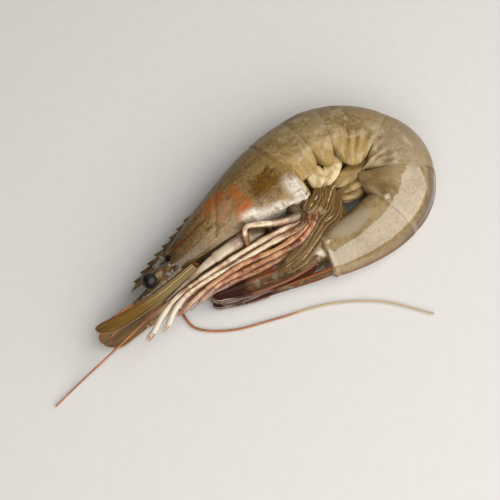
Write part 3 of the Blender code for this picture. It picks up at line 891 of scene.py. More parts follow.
# %% Rostrum
ROSTRUM_ROOT = 30.0
TOOTH_COUNT, TOOTH_HEIGHT = 8, 0.85
FIRST_TOOTH, LAST_TOOTH = 3.0, 24.0
TOOTH_PITCH = (LAST_TOOTH - FIRST_TOOTH) / TOOTH_COUNT
LOWER_TEETH = (5.2, 8.0)
BLADE_UNDER = ((0, 0.9), (5, 1.0), (10, 1.8), (14, 2.2), (30, 3.5))
BLADE_ROWS, BLADE_COLUMNS = 400, 40


def crest_line(s):
    """The top of the blade without its teeth."""
    ahead = 1.3 + 2.55 * (s / ORBIT) ** 0.8
    fading = (s - ORBIT) / (ROSTRUM_ROOT - ORBIT)
    return np.where(s < ORBIT, ahead, smooth(DORSAL, s) + 0.85 * (1 - fading) - 0.1)


def upper_teeth(s):
    """Saw teeth that point forwards, lower towards both ends of the row."""
    turn = (s - FIRST_TOOTH) / TOOTH_PITCH + 0.25
    inside = (turn > 0) & (turn < TOOTH_COUNT)
    slope = np.clip(1 - (turn % 1) / 0.93, 0, 1) ** 1.3
    return TOOTH_HEIGHT * inside * slope * (0.6 + 0.4 * hump(s, 11, 9))


def rostrum():
    s = np.linspace(0.05, ROSTRUM_ROOT, BLADE_ROWS)[:, None]
    turn = np.linspace(0, 2 * np.pi, BLADE_COLUMNS + 1)[:-1][None]
    up, side = np.cos(turn), np.sin(turn)
    teeth = upper_teeth(s)
    under = smooth(BLADE_UNDER, s)
    for tooth in LOWER_TEETH:
        under = under - 0.45 * fade(s, tooth + 1.6, tooth) * (s > tooth)
    top = np.maximum(crest_line(s) + teeth, under + 0.05)
    middle, half = (top + under) / 2, (top - under) / 2
    tip = fade(s, -0.4, 2.5)
    thick = 0.10 + 0.34 * (1 - np.abs(up)) ** 0.8 + 0.12 * hump(up, -0.1, 0.16)
    lateral = thick * (0.35 + 0.65 * tip) * np.sign(side) * np.abs(side) ** 0.5
    lean = 0.55 * teeth * fade(up, 0.3, 1.0)
    place = np.broadcast_arrays(s - lean, middle + half * up * (0.3 + 0.7 * tip), lateral)
    body = np.stack(place, axis=-1)
    piece = np.stack(np.broadcast_arrays(s / ROSTRUM_ROOT, up, side), axis=-1)
    mesh = grid_mesh("rostrum_blade", body_points(*place), body, piece)
    mesh.materials.append(HEAD_SHELL)
    add_piece("rostrum_blade", mesh, "head_shell")


rostrum()

# %% [markdown]
# ## The ground colours of the abdomen
#
# The flesh shows pale through the rings: tan on the flank, yellower low down, greyer along the back, with
# a dark rim on the outside of the curl that is a painted reflection, and a red keel behind.  The fourth
# ring is greyer than the others, and the last one has a pale oval in brown.

# %% Ring ground
def ring_ground(shell):
    s, dorsal, ragged_d = shell.s, shell.dorsal, shell.ragged_d
    cloud = shell.fine * 0.35 + shell.broad * 0.65
    colour = shell.mix(cloud.fade(0.38, 0.60), (0.185, 0.122, 0.046), (0.335, 0.245, 0.120))
    front = ragged_d.fade(2.5, -1.5) * s.fade(52, 47)
    colour = shell.mix(front * 0.7, colour, (0.230, 0.145, 0.036))
    low = ragged_d.fade(0.5, -3.5) * s.fade(76, 68)
    colour = shell.mix(low * 0.75, colour, (0.290, 0.185, 0.045))
    grey = shell.broad.fade(0.48, 0.62) * ragged_d.fade(1.0, 4.0)
    colour = shell.mix(grey * 0.5, colour, (0.170, 0.124, 0.070))
    grey_ring = s.hump(75, 4.5) * ragged_d.fade(-6.0, -2.0)
    colour = shell.mix(grey_ring * 0.7, colour, (0.250, 0.200, 0.132))
    oval = s.hump(98.5, 5.5) * dorsal.hump(-1.4, 2.4)
    colour = shell.mix(oval.fade(0.2, 0.55) * 0.8, colour, (0.360, 0.295, 0.200))
    brown_five = s.hump(84, 5.0) * ragged_d.fade(-0.5, -3.5)
    brown_six = s.hump(100, 9) * ragged_d.fade(-2.4, -4)
    colour = shell.mix(brown_five.highest(brown_six) * 0.56, colour, (0.150, 0.085, 0.018))
    # A painted dark reflection along the outside of the curl, at the outer edge of the bright band.
    rim = ragged_d.fade(7.0, 8.8) * s.fade(76, 82)
    colour = shell.mix(rim * 0.9, colour, (0.070, 0.032, 0.008))
    keel = shell.lateral.hump(0, 0.7) * dorsal.fade(4, 6) * s.fade(72, 80)
    return shell.mix(keel * 0.8, colour, (0.110, 0.022, 0.005))


# %% [markdown]
# ## Creases, specks and hems
#
# Creases fan out from the middle of the curl, dark ones and pale ones from one stretched noise.  Fine
# brown specks and milky patches lie over the flank.  Each ring ends in a pale hem with a thin dark line,
# and low down, where the next one slides under it, a painted shade darkens it.  `piece` says how far a
# point is from its ring's hem.

# %% Ring details
def ring_creases(shell, colour):
    """Lays on the creases, and also gives their height."""
    streaks = shell.noise(shell.scaled(shell.body, (0.45, 0.10, 0.10)), 1.0, 3.0, 0.6)
    lower = shell.dorsal.fade(3.5, -1.0) * shell.s.fade(86, 70)
    dark = streaks.fade(0.52, 0.66) * lower
    colour = shell.mix(dark * 0.85, colour, (0.130, 0.070, 0.014))
    pale = streaks.fade(0.47, 0.34) * lower
    return shell.mix(pale * 0.6, colour, (0.40, 0.305, 0.135)), streaks * lower


def ring_specks(shell, colour):
    specks = shell.dots(shell.body, 1.2, 0.30, 0.6)
    speck_field = shell.noise(shell.body, 0.4, 2.0).fade(0.35, 0.60)
    colour = shell.mix(specks * speck_field * 0.7, colour, (0.115, 0.045, 0.015))
    milky = shell.noise(shell.body, 0.33, 2.0, 0.5).fade(0.54, 0.66)
    milky = milky * shell.ragged_d.fade(8.5, 6.5) * shell.s.fade(84, 76)
    return shell.mix(milky * 0.4, colour, (0.46, 0.39, 0.27))


def ring_hems(shell, colour):
    hem = shell.parts(shell.piece)[0]
    pale_hem = hem.fade(1.4, 0.9) * hem.fade(0.2, 0.35)
    colour = shell.mix(pale_hem * 0.3, colour, (0.36, 0.30, 0.19))
    # Painted shade low down, where the next ring slides under this one.
    painted_shade_under_next = hem.fade(1.3, 0.2) * shell.ragged_d.fade(-1.0, -5.0) * shell.s.fade(72, 66)
    colour = shell.mix(painted_shade_under_next * 0.7, colour, (0.120, 0.066, 0.013))
    dark_line = hem.fade(0.26, 0.12) * shell.broad.fade(0.42, 0.58)
    return shell.mix(dark_line * 0.5, colour, (0.110, 0.055, 0.018))


# %% [markdown]
# ## The finish of the abdomen
#
# The last two rings carry more water than the others and shine like glass, so the coat
# is much stronger and the bump weaker from the fifth ring on.

# %% Body shell
def body_shell():
    shell = ShellFinish("wet_body_shell", 0.20, (1.5, 5.0), coat_roughness=0.035, soft=0.15, coat_ior=1.7)
    colour, creases = ring_creases(shell, ring_ground(shell))
    colour = ring_hems(shell, ring_specks(shell, colour))
    gloss = shell.s.fade(79.5, 80.5) * 0.85 + 0.15
    height = (shell.fine * 0.5 + creases * 0.8) * (1.15 - gloss * 0.65)
    roughness = 0.42 + shell.fine * 0.2 - gloss * 0.1
    return shell.coat(colour, roughness, gloss, height, 0.00012)


BODY_SHELL = body_shell()
print("made", BODY_SHELL.name)

# %% [markdown]
# ## The rings of the abdomen
#
# Six rings, each made like the carapace and tucked under the one before it, as the real
# ones slide when the tail flexes.  All but the last carry a rounded flap on each side.
# The ring's relief is measured from its rear edge: a rim, a groove just ahead of it, and
# the small knob on the flank that it hinges on.  The last three have a keel on the back.

# %% Rings
FLAP_DROPS = (2.8, 3.6, 4.8, 4.8, 5.0, 0.0)
RING_PITCH, RING_STEP, OVERLAP = 0.16, 0.045, 0.2
KEEL = (0, 0, 0, 0.25, 0.35, 0.45)
RIPPLE = (0.12, 0.14, 0.16, 0.16, 0.08, 0.03)
SKIN_DEPTH = (0.00010, 0.00010, 0.00010, 0.00009, 0.00004, 0.00003)


def ring_relief(number, gap, s, dorsal, lateral, back):
    """Heights in mm on one ring, where gap is the distance ahead of its rear edge."""
    height = 0.03 * hump(gap, 0.35, 0.28) - 0.07 * hump(gap, 1.1, 0.5)
    height = height + 0.16 * np.sin(np.pi * np.clip(gap / (back - s.min()), 0, 1))
    knob = hump(gap, 1.1, 0.7) * hump(np.abs(dorsal + 0.8), 0, 0.8)
    height = height + 0.35 * knob * (np.abs(lateral) > 1)
    height = height + KEEL[number] * hump(lateral, 0, 0.55) * fade(dorsal, 2, 5)
    ripple = np.sin(1.7 * s + 0.6 * dorsal) * np.sin(0.75 * s - 1.1 * dorsal + number)
    return height + RIPPLE[number] * ripple * hump(dorsal, -2.5, 3.0)


def ring_rows(number, front, back):
    """The tucked front rows, the visible ones and the rows round the rear lip, as (s, grow)."""
    tuck = [(front - 1.5, -1.3), (front - 0.9, -0.75), (front - 0.4, -0.35)]
    places = np.linspace(front, back + OVERLAP, round((back - front) / RING_PITCH))
    outer = [(s, RING_STEP * (2 * (s - front) / (back - front) - 1)) for s in places]
    lip = [(back + 0.26, 0.04), (back + 0.27, -0.03), (back + 0.1, -0.14)]
    lip += [(back - 0.5, -0.4), (back - 1.4, -1.0)]
    if number == len(SEGMENT_LENGTHS) - 1:
        lip = [(back + 0.35, -0.02), (back + 0.5, -0.2), (back + 0.6, -0.5)]
        lip += [(back + 0.65, -1.2), (back + 0.5, -2.6)]
    return tuck, outer, lip


def ring(number):
    front, back = EDGES[number], EDGES[number + 1]
    tuck, outer, lip = ring_rows(number, front, back)
    rows = tuck + outer + lip
    s = np.array(rows)[:, :1]
    t = np.clip((s - front) / (back - front), 0, 1)
    drop = FLAP_DROPS[number] * np.sqrt(1 - (2 * t - 1) ** 2)
    points, body = shell_grid(rows, drop=drop)
    outside = visible_rows(len(tuck), len(outer), len(lip))
    gap = back + OVERLAP - s
    height = outside * ring_relief(number, gap, s, body[..., 1], body[..., 2], back)
    piece = np.stack(np.broadcast_arrays(gap * outside, FROM_BACK / 180, number + 1.0), axis=-1)
    mesh = grid_mesh("ring", raised(points, height), body, piece)
    settings = {"Depth": SKIN_DEPTH[number], "Grain": (0.5, 0.35, 0.35)}
    settings |= {"Seed": number + 2.0, "Material": BODY_SHELL}
    node = f"abdomen_ring_{number + 1}"
    add_piece(f"{node}_shell", run_tree(SKIN, mesh, settings), "body_shell", node)


for number in range(len(SEGMENT_LENGTHS)):
    ring(number)

# %% [markdown]
# ## Flat leaves
#
# The blades of the tail, the paddles and the feelers' scales are all flat leaves with a
# rounded end.  A leaf is a grid as well.  Its rows run from root to tip, and `across`
# goes from one edge to the other and back along the under side.  A function of the two
# gives the ribs.  Most leaves stay in body places, so one on the right is the one on the
# left with its lateral places turned round.  The paddles, which lie in flat layers, are
# laid out in space instead.


# %% The leaf maker
def leaf(name, middle, width, thick, ribs, sign=1, columns=64, in_space=False):
    """A leaf from three (rows, 3) arrays, its middle and its steps to an edge and a face.

    They are body places in mm, or points in space in mm.  ribs(t, across) gives the
    thickness as a share of thick.  Returns the mesh, and for both edges the points, the
    ways out and the ways ahead, for hairs.
    """
    rows = len(middle)
    t = np.linspace(0, 1, rows)[:, None]
    turn = np.linspace(0, 2 * np.pi, columns + 1)[:-1][None]
    across, face = np.cos(turn), np.sin(turn)
    face = np.sign(face) * np.abs(face) ** 0.55
    t, across, face = np.broadcast_arrays(t, across, face)
    body = middle[:, None] + width[:, None] * across[..., None]
    body = body + thick[:, None] * (face * ribs(t, across))[..., None]
    body[..., 2] *= sign
    points = body * MM if in_space else body_points(*np.moveaxis(body, -1, 0))
    mesh = grid_mesh(name, points, body, np.stack([t, across, face], axis=-1))
    edges = [points[:, 0], points[:, columns // 2]]
    centre = (edges[0] + edges[1]) / 2
    ahead = unit(np.gradient(centre, axis=0))
    return mesh, [(edge, unit(edge - centre), ahead) for edge in edges]


def unit(vectors):
    return vectors / np.maximum(np.linalg.norm(vectors, axis=-1, keepdims=True), 1e-12)


def rounded(t, start=0.92):
    """1 up to start, then the quarter circle that closes a leaf's end."""
    return np.sqrt(np.clip(1 - (np.clip(t - start, 0, None) / (1.001 - start)) ** 2, 0, 1))


def tip_spaced(rows):
    """Places from 0 to 1 that crowd together towards 1, where a leaf rounds off."""
    return 1 - (1 - np.linspace(0, 1, rows)) ** 1.6


def edge_hairs(edge, count, first, last, forward):
    """Roots for hairs along part of an edge, evenly by number of rows."""
    rows = np.linspace(first, last, count) * (len(edge[0]) - 1)
    points, out, ahead = (
        np.stack([np.interp(rows, range(len(axis)), axis) for axis in vectors.T], axis=-1)
        for vectors in edge
    )
    return points, out + forward * ahead


# %% [markdown]
# ## The finish of the tail blades
#
# A pointed telson in the middle and two long blades on each side, folded one on the
# other under the legs, make up the tail fan.  Red and pale lines run along the brown
# blades into blood-red tips with a pale rim.  One noise, stretched along the blade, draws
# all of those lines, so that they never cross.

# %% Tail blade finish
def tail_blade_finish():
    finish = Finish("wet_tail_blade", coat_roughness=0.08)
    along, across, _ = finish.parts(finish.piece)
    fibres = finish.noise(finish.scaled(finish.piece, (2.2, 16.0, 1.0)), 1.0, 3.0, 0.3)
    blot = finish.noise(finish.body, 0.5, 3.0)
    colour = finish.mix(fibres.fade(0.35, 0.65), (0.034, 0.011, 0.002), (0.130, 0.062, 0.018))
    colour = finish.mix(fibres.fade(0.56, 0.62) * 0.85, colour, (0.22, 0.045, 0.008))
    colour = finish.mix(fibres.fade(0.40, 0.35) * 0.7, colour, (0.40, 0.30, 0.17))
    grey = blot.fade(0.52, 0.64) * along.fade(0.15, 0.3) * along.fade(0.7, 0.5)
    colour = finish.mix(grey * 0.7, colour, (0.21, 0.19, 0.13))
    red_ribs = across.hump(0, 0.1) + across.size().fade(0.86, 0.98)
    colour = finish.mix(red_ribs * 0.7, colour, (0.24, 0.060, 0.014))
    blood = (along + (blot - 0.5) * 0.25).fade(0.42, 0.55)
    colour = finish.mix(blood * 0.95, colour, (0.022, 0.003, 0.001))
    red_tip = along.fade(0.90, 0.96) * fibres.fade(0.5, 0.58)
    colour = finish.mix(red_tip * 0.8, colour, (0.14, 0.020, 0.006))
    rim = along.fade(0.975, 0.99) + across.size().fade(0.90, 0.97) * along.fade(0.62, 0.75)
    colour = finish.mix(rim.lowest(1.0) * 0.85, colour, (0.42, 0.38, 0.34))
    height = fibres * 0.8 + finish.noise(finish.body, 2.0) * 0.3
    return finish.coat(colour, 0.45 + fibres * 0.2, 0.22 - blood * 0.18, height, 0.0002)


TAIL_BLADE = tail_blade_finish()
print("made", TAIL_BLADE.name)

# %% [markdown]
# ## The blades and the telson
#
# The stiff ribs are what one sees first, so they are real heights on the leaf and not
# only lines of colour: a midrib, a stiff outer edge, and fine ribs that spread towards
# the tip.  A blade is narrow at its root and widest near its middle, which half a sine
# wave gives.  The telson is the same leaf turned on its side, and tapers to a point.

# %% Tail blades and telson
TAIL_ROWS = 110
BLADE_ROOT, BLADE_SHOULDER, BLADE_THICK = 2.8, 4.6, 0.36
TELSON_TUCK = 0.8
TAIL_BLADES = {"inner": (26.5, 2.9, 1.0, 1.35), "outer": (28.5, 3.5, 0.7, 2.6)}


def blade_ribs(t, across):
    fine = 0.12 * np.cos(across * 34 + 5 * (1 - t) * across) * fade(t, 0.05, 0.3)
    midrib = 0.9 * hump(across, 0.05, 0.07) * fade(t, 1.0, 0.7)
    return 0.62 + fine + midrib + 0.35 * hump(across, 0.88, 0.08)


def tail_blade(which, side, sign):
    """One blade from its length, half width, and dorsal and lateral place in mm."""
    length, half_width, dorsal, lateral = TAIL_BLADES[which]
    t = tip_spaced(TAIL_ROWS)
    s = TAIL_START + BLADE_ROOT + t * (length - BLADE_ROOT)
    reach = (s - TAIL_START - BLADE_SHOULDER) / (length - BLADE_SHOULDER)
    wide = half_width * np.sin(np.pi * (0.16 + 0.8 * np.clip(reach, -0.08, 0.9))) ** 0.6
    wide = wide * rounded(t)
    flat = np.zeros_like(t)
    middle = np.stack([s, flat + dorsal, flat + lateral], axis=1)
    width = np.stack([flat, wide, -0.05 * wide], axis=1)
    thick = np.stack([flat, flat, flat + BLADE_THICK], axis=1)
    name = f"tail_{which}_{side}"
    mesh, edges = leaf(name, middle, width, thick, blade_ribs, sign)
    mesh.materials.append(TAIL_BLADE)
    add_piece(name, mesh, "tail_blade", f"uropod_{which}_{side}")
    return [edge_hairs(edge, count=150, first=0.35, last=1.0, forward=0.9) for edge in edges]


def telson_ribs(t, across):
    ridges = 0.28 * hump(np.abs(across), 0.5, 0.16) - 0.25 * hump(across, 0, 0.2)
    return 0.75 + ridges * fade(t, 0.0, 0.15)


def telson():
    t = tip_spaced(TAIL_ROWS)
    s = TAIL_START - TELSON_TUCK + t * (TELSON_LENGTH + TELSON_TUCK)
    slim = np.clip(1 - t, 0, 1) ** 0.75
    flat = np.zeros_like(t)
    middle = np.stack([s, 5.0 - 1.0 * t, flat], axis=1)
    width = np.stack([flat, flat, 2.4 * slim + 0.12], axis=1)
    thick = np.stack([flat, 0.95 - 0.7 * t, flat], axis=1)
    mesh, edges = leaf("telson_blade", middle, width, thick, telson_ribs)
    mesh.materials.append(TAIL_BLADE)
    add_piece("telson_blade", mesh, "tail_blade", "telson")
    return [edge_hairs(edge, count=110, first=0.4, last=0.97, forward=0.8) for edge in edges]


TAIL_HAIRS = telson()

# %% [markdown]
# ## The joints of the tail
#
# A short stout joint carries the two blades of each side.  It is pale and crumpled, so it
# has a finish of its own, and two sine waves across each other fold its skin.

# %% Tail joints
JOINT_ROWS = 60
JOINT_HIGH = ((0, 2.4), (0.4, 3.4), (0.75, 2.8), (1, 1.6))
JOINT_BULGE = ((0, 1.0), (0.4, 1.6), (1, 0.9))


def joint_finish():
    finish = Finish("wet_tail_joint")
    lump = finish.noise(finish.body, 0.5, 3.0, 0.6)
    colour = finish.mix(lump.fade(0.40, 0.62), (0.17, 0.10, 0.032), (0.50, 0.43, 0.32))
    colour = finish.mix(lump.hump(0.44, 0.03) * 0.7, colour, (0.09, 0.045, 0.012))
    return finish.coat(colour, 0.35 + lump * 0.2, 0.6, lump, 0.0004)


TAIL_JOINT = joint_finish()


def crumpled(t, across):
    folds = np.sin(11 * t + 4 * across) * np.sin(7 * across - 5 * t)
    return 0.95 + 0.14 * folds + 0.1 * hump(across, 0.4, 0.15)


def tail_joint(side, sign):
    t = np.linspace(0, 1, JOINT_ROWS)
    s = TAIL_START - 1.2 + 6.2 * t
    flat = np.zeros_like(t)
    middle = np.stack([s, flat - 1.0, flat + 2.3 + 0.3 * t], axis=1)
    width = np.stack([flat, smooth(JOINT_HIGH, t) * rounded(t, 0.6), flat], axis=1)
    thick = np.stack([flat, flat, smooth(JOINT_BULGE, t) * rounded(t, 0.6)], axis=1)
    name = f"tail_joint_{side}"
    mesh, _ = leaf(name, middle, width, thick, crumpled, sign)
    mesh.materials.append(TAIL_JOINT)
    add_piece(name, mesh, "body_shell", f"uropod_joint_{side}")


for side, sign in SIDES.items():
    tail_joint(side, sign)
    for which in TAIL_BLADES:
        TAIL_HAIRS += tail_blade(which, side, sign)

# %% [markdown]
# ## Strands
#
# Every stalk, feeler and leg starts as a strand: a few places on the body that a smooth
# curve runs through, and a short list of radii spread over its length.  The limb tree
# makes the rest.  The strands of the right side are those of the left with their lateral
# places turned round, unless that side lies in another way.

# %% Limbs from strands
def limb(name, strands, slot, material, node, rings=90, sides=14, flatness=1.0):
    """A piece that the limb tree makes from strands."""
    settings = {"Rings": rings, "Sides": sides, "Flatness": flatness, "Material": material}
    add_piece(name, run_tree(LIMB, strands_mesh(name, strands), settings), slot, node)


def strand(places, radii, joints, count=60):
    """A strand along body places, with radii in mm spread evenly over its length."""
    route = along_route(places, count)
    thick = np.interp(np.linspace(0, 1, count), np.linspace(0, 1, len(radii)), radii)
    return body_points(*route.T), thick, joints, route


def mirrored(places, sign):
    return [(s, dorsal, sign * lateral) for s, dorsal, lateral in places]


# %% [markdown]
# ## The eyes
#
# Each eye is a black bead on a short stalk, with a shallow groove where the stalk holds
# it.  A sphere primitive would have its pole in the wrong place and no groove.  A turned
# profile along the stalk's own direction has both, and its facets are far too small for
# anything but a fine bump.

# %% Eyes and their stalks
STALK_ROOT, EYE_CENTRE = (10.4, -0.5, 1.8), (4.2, -1.1, 4.3)
STALK_ROUTE = ((12.6, -0.4, 1.2), STALK_ROOT, (8.0, -0.7, 3.1), (5.2, -1.0, 3.95))
STALK_RADII = (1.0, 1.0, 1.1, 1.2, 1.25, 1.3)
EYE_RADIUS = 1.9
EYE_ROWS, EYE_COLUMNS = 44, 56


def eye_finish():
    finish = Finish("wet_eye", coat_roughness=0.12, soft=0.0)
    back = finish.parts(finish.piece)[0]
    cloud = finish.noise(finish.object, 700.0, 2.0)
    colour = finish.mix(cloud.fade(0.4, 0.7), (0.004, 0.003, 0.004), (0.020, 0.017, 0.015))
    colour = finish.mix(back.fade(0.28, 0.12), colour, (0.10, 0.05, 0.02))
    facets = finish.node("ShaderNodeTexVoronoi", {}, {"Vector": finish.object, "Scale": 9000.0})
    return finish.coat(colour, 0.35 + cloud * 0.1, 0.25, facets + cloud * 9, 0.00002)


EYE = eye_finish()


def eye(side, sign):
    root, centre = (body_points(*mirrored([spot], sign)[0]) for spot in (STALK_ROOT, EYE_CENTRE))
    way = unit(centre - root)
    across = unit(np.cross(way, (0.0, 0.0, 1.0)))
    up = np.cross(way, across)
    angle = np.linspace(2.75, 0.02, EYE_ROWS)[:, None]
    turn = np.linspace(0, 2 * np.pi, EYE_COLUMNS + 1)[:-1][None]
    radius = EYE_RADIUS * MM * np.sin(angle) * (1 - 0.16 * hump(angle, 2.25, 0.13))
    forward = EYE_RADIUS * MM * np.cos(angle) * (1 - 0.08 * fade(angle, 1.6, 0.3))
    circle = across * np.cos(turn)[..., None] + up * np.sin(turn)[..., None]
    points = centre + forward[..., None] * way + radius[..., None] * circle
    place = np.stack(np.broadcast_arrays(1 - angle / np.pi, turn, 0.0), axis=-1)
    mesh = grid_mesh(f"eye_ball_{side}", points, np.broadcast_to(EYE_CENTRE, points.shape), place)
    mesh.materials.append(EYE)
    add_piece(f"eye_ball_{side}", mesh, "eye", f"eye_{side}")


def eyestalk(side, sign):
    parts = [strand(mirrored(STALK_ROUTE, sign), STALK_RADII, 1.0)]
    limb(f"eye_stem_{side}", parts, "head_shell", HEAD_SHELL, f"eyestalk_{side}", rings=60, sides=20)


for side, sign in SIDES.items():
    eye(side, sign)
    eyestalk(side, sign)

# %% [markdown]
# ## Feelers
#
# The short feelers stand on jointed stems, each with two whips.  Past their stout bases
# the long ones are less than a millimetre thick: one lies along the head and beyond it,
# and the other turns back past the tail.  All are orange-red and finely ringed, which the
# limb tree gives when it is asked for a great many joints.  The cream that belongs at the
# root shows on the free end of the one that turns back, because the long ones carry
# places in space as `body`, where all other limbs carry places on the animal.

# %% Feelers
ANTENNULE_DROP, ANTENNULE_SIDE = -2.2, 1.1
ANTENNULE_STEM = (12.2, 10.2, 7.5, 4.5, 1.5, -1.6)
WHIP_START, WHIP_LENGTH, WHIP_RISE = -1.4, 9.1, {"upper": 0.42, "lower": -0.42}
ANTENNA_POINTS, ANTENNA_JOINTS, BASE_SHARE = 120, 180.0, 0.07
FLOOR_HEIGHT = 0.5
LEFT_ANTENNA = (
    (15.5, -4.4, 0.6), (13.4, -5.6, 0.6), (8, -5.9, 0.5), (2, -6.1, 0.0), (-5, -5.9, -2.0),
    (-13, -5.6, -4.6), (-21, -5.4, -6.6), (-29, -5.8, -7.35),
)
RIGHT_ANTENNA = ((15.5, -4.6, -3.2), (13.4, -6.0, -4.6), (8.5, -7.0, -5.0), (4, -8.2, -5.8))
RIGHT_ON_FLOOR = (
    (-23.5, -31), (-19.5, -35.5), (-11, -36), (0, -33), (12, -29.5), (24, -29), (36, -32),
)


def feeler_finish():
    """Orange-red, and cream where the first part of `body` is over 12."""
    finish = Finish("wet_feeler", coat_roughness=0.12, soft=0.05)
    joint = finish.parts(finish.piece)[1]
    blotch = finish.noise(finish.object, 260.0, 2.0)
    colour = finish.mix(blotch.fade(0.3, 0.7), (0.20, 0.045, 0.010), (0.42, 0.12, 0.03))
    colour = finish.mix(joint.hump(0.5, 0.35) * 0.4, colour, (0.42, 0.20, 0.07))
    free_end = finish.parts(finish.body)[0].fade(9, 12)
    colour = finish.mix(free_end * 0.9, colour, (0.44, 0.33, 0.17))
    return finish.coat(colour, 0.4 + blotch * 0.2, 0.6, blotch, 0.00002)


FEELER = feeler_finish()


def antennule(side, sign):
    """A short feeler: a flat stem of three joints with two whips that part slowly."""
    stem = [(s, ANTENNULE_DROP, sign * ANTENNULE_SIDE) for s in ANTENNULE_STEM]
    parts = [strand(stem, (1.6, 1.9, 1.9, 1.6, 1.4, 1.1, 0.7), 3.0)]
    name, node = f"antennule_{side}", f"antennule_stem_{side}"
    limb(name, parts, "head_shell", HEAD_SHELL, node, rings=110, sides=22, flatness=0.7)
    t = np.linspace(0, 1, 6)
    for whip, rise in WHIP_RISE.items():
        depth = ANTENNULE_DROP + rise * (1 + 2.2 * t)
        aside = sign * (ANTENNULE_SIDE + 0.6 * t)
        places = np.stack([WHIP_START - WHIP_LENGTH * t, depth, aside], axis=1)
        parts = [strand(places, (0.34, 0.3, 0.2, 0.1), 34.0, count=40)]
        node = f"antennule_whip_{whip}_{side}"
        limb(f"{name}_{whip}", parts, "feeler", FEELER, node, rings=340, sides=8)


def antenna(side, points):
    """A long feeler: a stout base of two joints, then a whip with fine rings."""
    count = len(points)
    t = np.linspace(0, 1, count)
    base = round(count * BASE_SHARE)
    radii = np.maximum(0.42 - 0.2 * t, 0.95 - 4 * t)
    whip = (points, radii, ANTENNA_JOINTS, points / MM)
    stout = (points[:base], np.linspace(1.9, 0.8, base), 2.0, points[:base] / MM)
    name = f"antenna_whip_{side}"
    limb(name, [whip, stout], "feeler", FEELER, f"antenna_{side}", rings=1500, sides=8)


IN_THE_AIR = body_points(*np.array(RIGHT_ANTENNA).T)
ROUTES = {
    "left": body_points(*np.array(LEFT_ANTENNA).T),
    "right": np.vstack([IN_THE_AIR, floor_points(RIGHT_ON_FLOOR, FLOOR_HEIGHT)]),
}
for side, sign in SIDES.items():
    antennule(side, sign)
    antenna(side, along_route(ROUTES[side], ANTENNA_POINTS))

# %% [markdown]
# ## The feelers' scales
#
# Beside each eye lies a long leaf that steers the head when the animal darts back.  It is golden brown
# and paler at the root, with a red-brown upper edge that is stiffer than the rest, and a soft lower edge
# with hairs.  The one underneath gets darker browns as painted shade, so the two finishes are one
# function with different browns.

# %% Antennal scales
SCALE_WIDTH = ((0, 1.4), (0.25, 1.8), (0.5, 2.1), (0.75, 2.7), (0.9, 3.1), (1, 2.4))
SCALE_ROWS, SCALE_ROOT, SCALE_LENGTH = 120, 14.2, 26.2


def scale_finish(name, brown, golden):
    finish = Finish(name, coat_roughness=0.08)
    along, across, _ = finish.parts(finish.piece)
    fibres = finish.noise(finish.scaled(finish.piece, (1.5, 9.0, 1.0)), 1.0, 3.0, 0.3)
    colour = finish.mix(fibres.fade(0.35, 0.65), brown, golden)
    colour = finish.mix(along.fade(0.45, 0.2) * 0.85, colour, (0.46, 0.34, 0.17))
    upper_edge = across.fade(0.6, 0.92) * along.fade(0.1, 0.3)
    colour = finish.mix(upper_edge * 0.85, colour, (0.24, 0.050, 0.008))
    colour = finish.mix(across.fade(-0.75, -0.97) * 0.6, colour, (0.10, 0.05, 0.015))
    tip = along.fade(0.80, 0.95) * fibres.fade(0.48, 0.6)
    colour = finish.mix(tip * 0.6, colour, (0.11, 0.055, 0.015))
    return finish.coat(colour, 0.45 + fibres * 0.2, 0.12, fibres, 0.00015)


SCALE = {
    "left": scale_finish("wet_scale", (0.150, 0.070, 0.006), (0.330, 0.190, 0.030)),
    # The right scale lies underneath: its darker browns are painted shade.
    "right": scale_finish("wet_under_scale", (0.070, 0.034, 0.008), (0.140, 0.080, 0.020)),
}


def scale_ribs(t, across):
    """Thick along the upper edge and down one rib, thin towards the hairs."""
    rib = 0.75 * hump(across, 0.15, 0.09) * fade(t, 1.0, 0.8)
    return 0.6 + rib + 0.55 * fade(across, 0.6, 0.85) + 0.08 * np.cos(30 * across)


def antennal_scale(side, sign):
    t = tip_spaced(SCALE_ROWS)
    wide = smooth(SCALE_WIDTH, t) * rounded(t, 0.93)
    flat = np.zeros_like(t)
    depth = 4.8 + 0.6 * np.sin(np.pi * t) - 2.2 * t * t
    middle = np.stack([SCALE_ROOT - SCALE_LENGTH * t, -depth, 3.0 + 1.4 * t], axis=1)
    width = np.stack([flat - 0.3 * wide * fade(t, 0.6, 1), 0.75 * wide, -0.55 * wide], axis=1)
    thick = np.stack([flat, flat + 0.18, flat + 0.26], axis=1)
    name = f"scale_{side}"
    mesh, edges = leaf(name, middle, width, thick, scale_ribs, sign)
    mesh.materials.append(SCALE[side])
    add_piece(name, mesh, "antennal_scale", f"antennal_scale_{side}")
    return edge_hairs(edges[1], count=170, first=0.3, last=1.0, forward=0.8)


SCALE_HAIRS = [antennal_scale(side, sign) for side, sign in SIDES.items()]

# %% [markdown]
# ## The finish of the legs
#
# The legs are cream along the top and brown down the flanks, their own colours with painted light and
# shade laid over them: lighter on top, darker on the flanks and nearly black underneath.  Broken red
# lines run in between, with small dark flecks, and pale flecks on top that are painted glints.  The root
# is painted dark where the leg goes in under the shell.  The limb tree gives the way each point faces,
# and that height, with noise added, is what all of the colours are cut from.  Three of the upper legs are
# nearly white, the other legs redder, and the jaw legs plain.

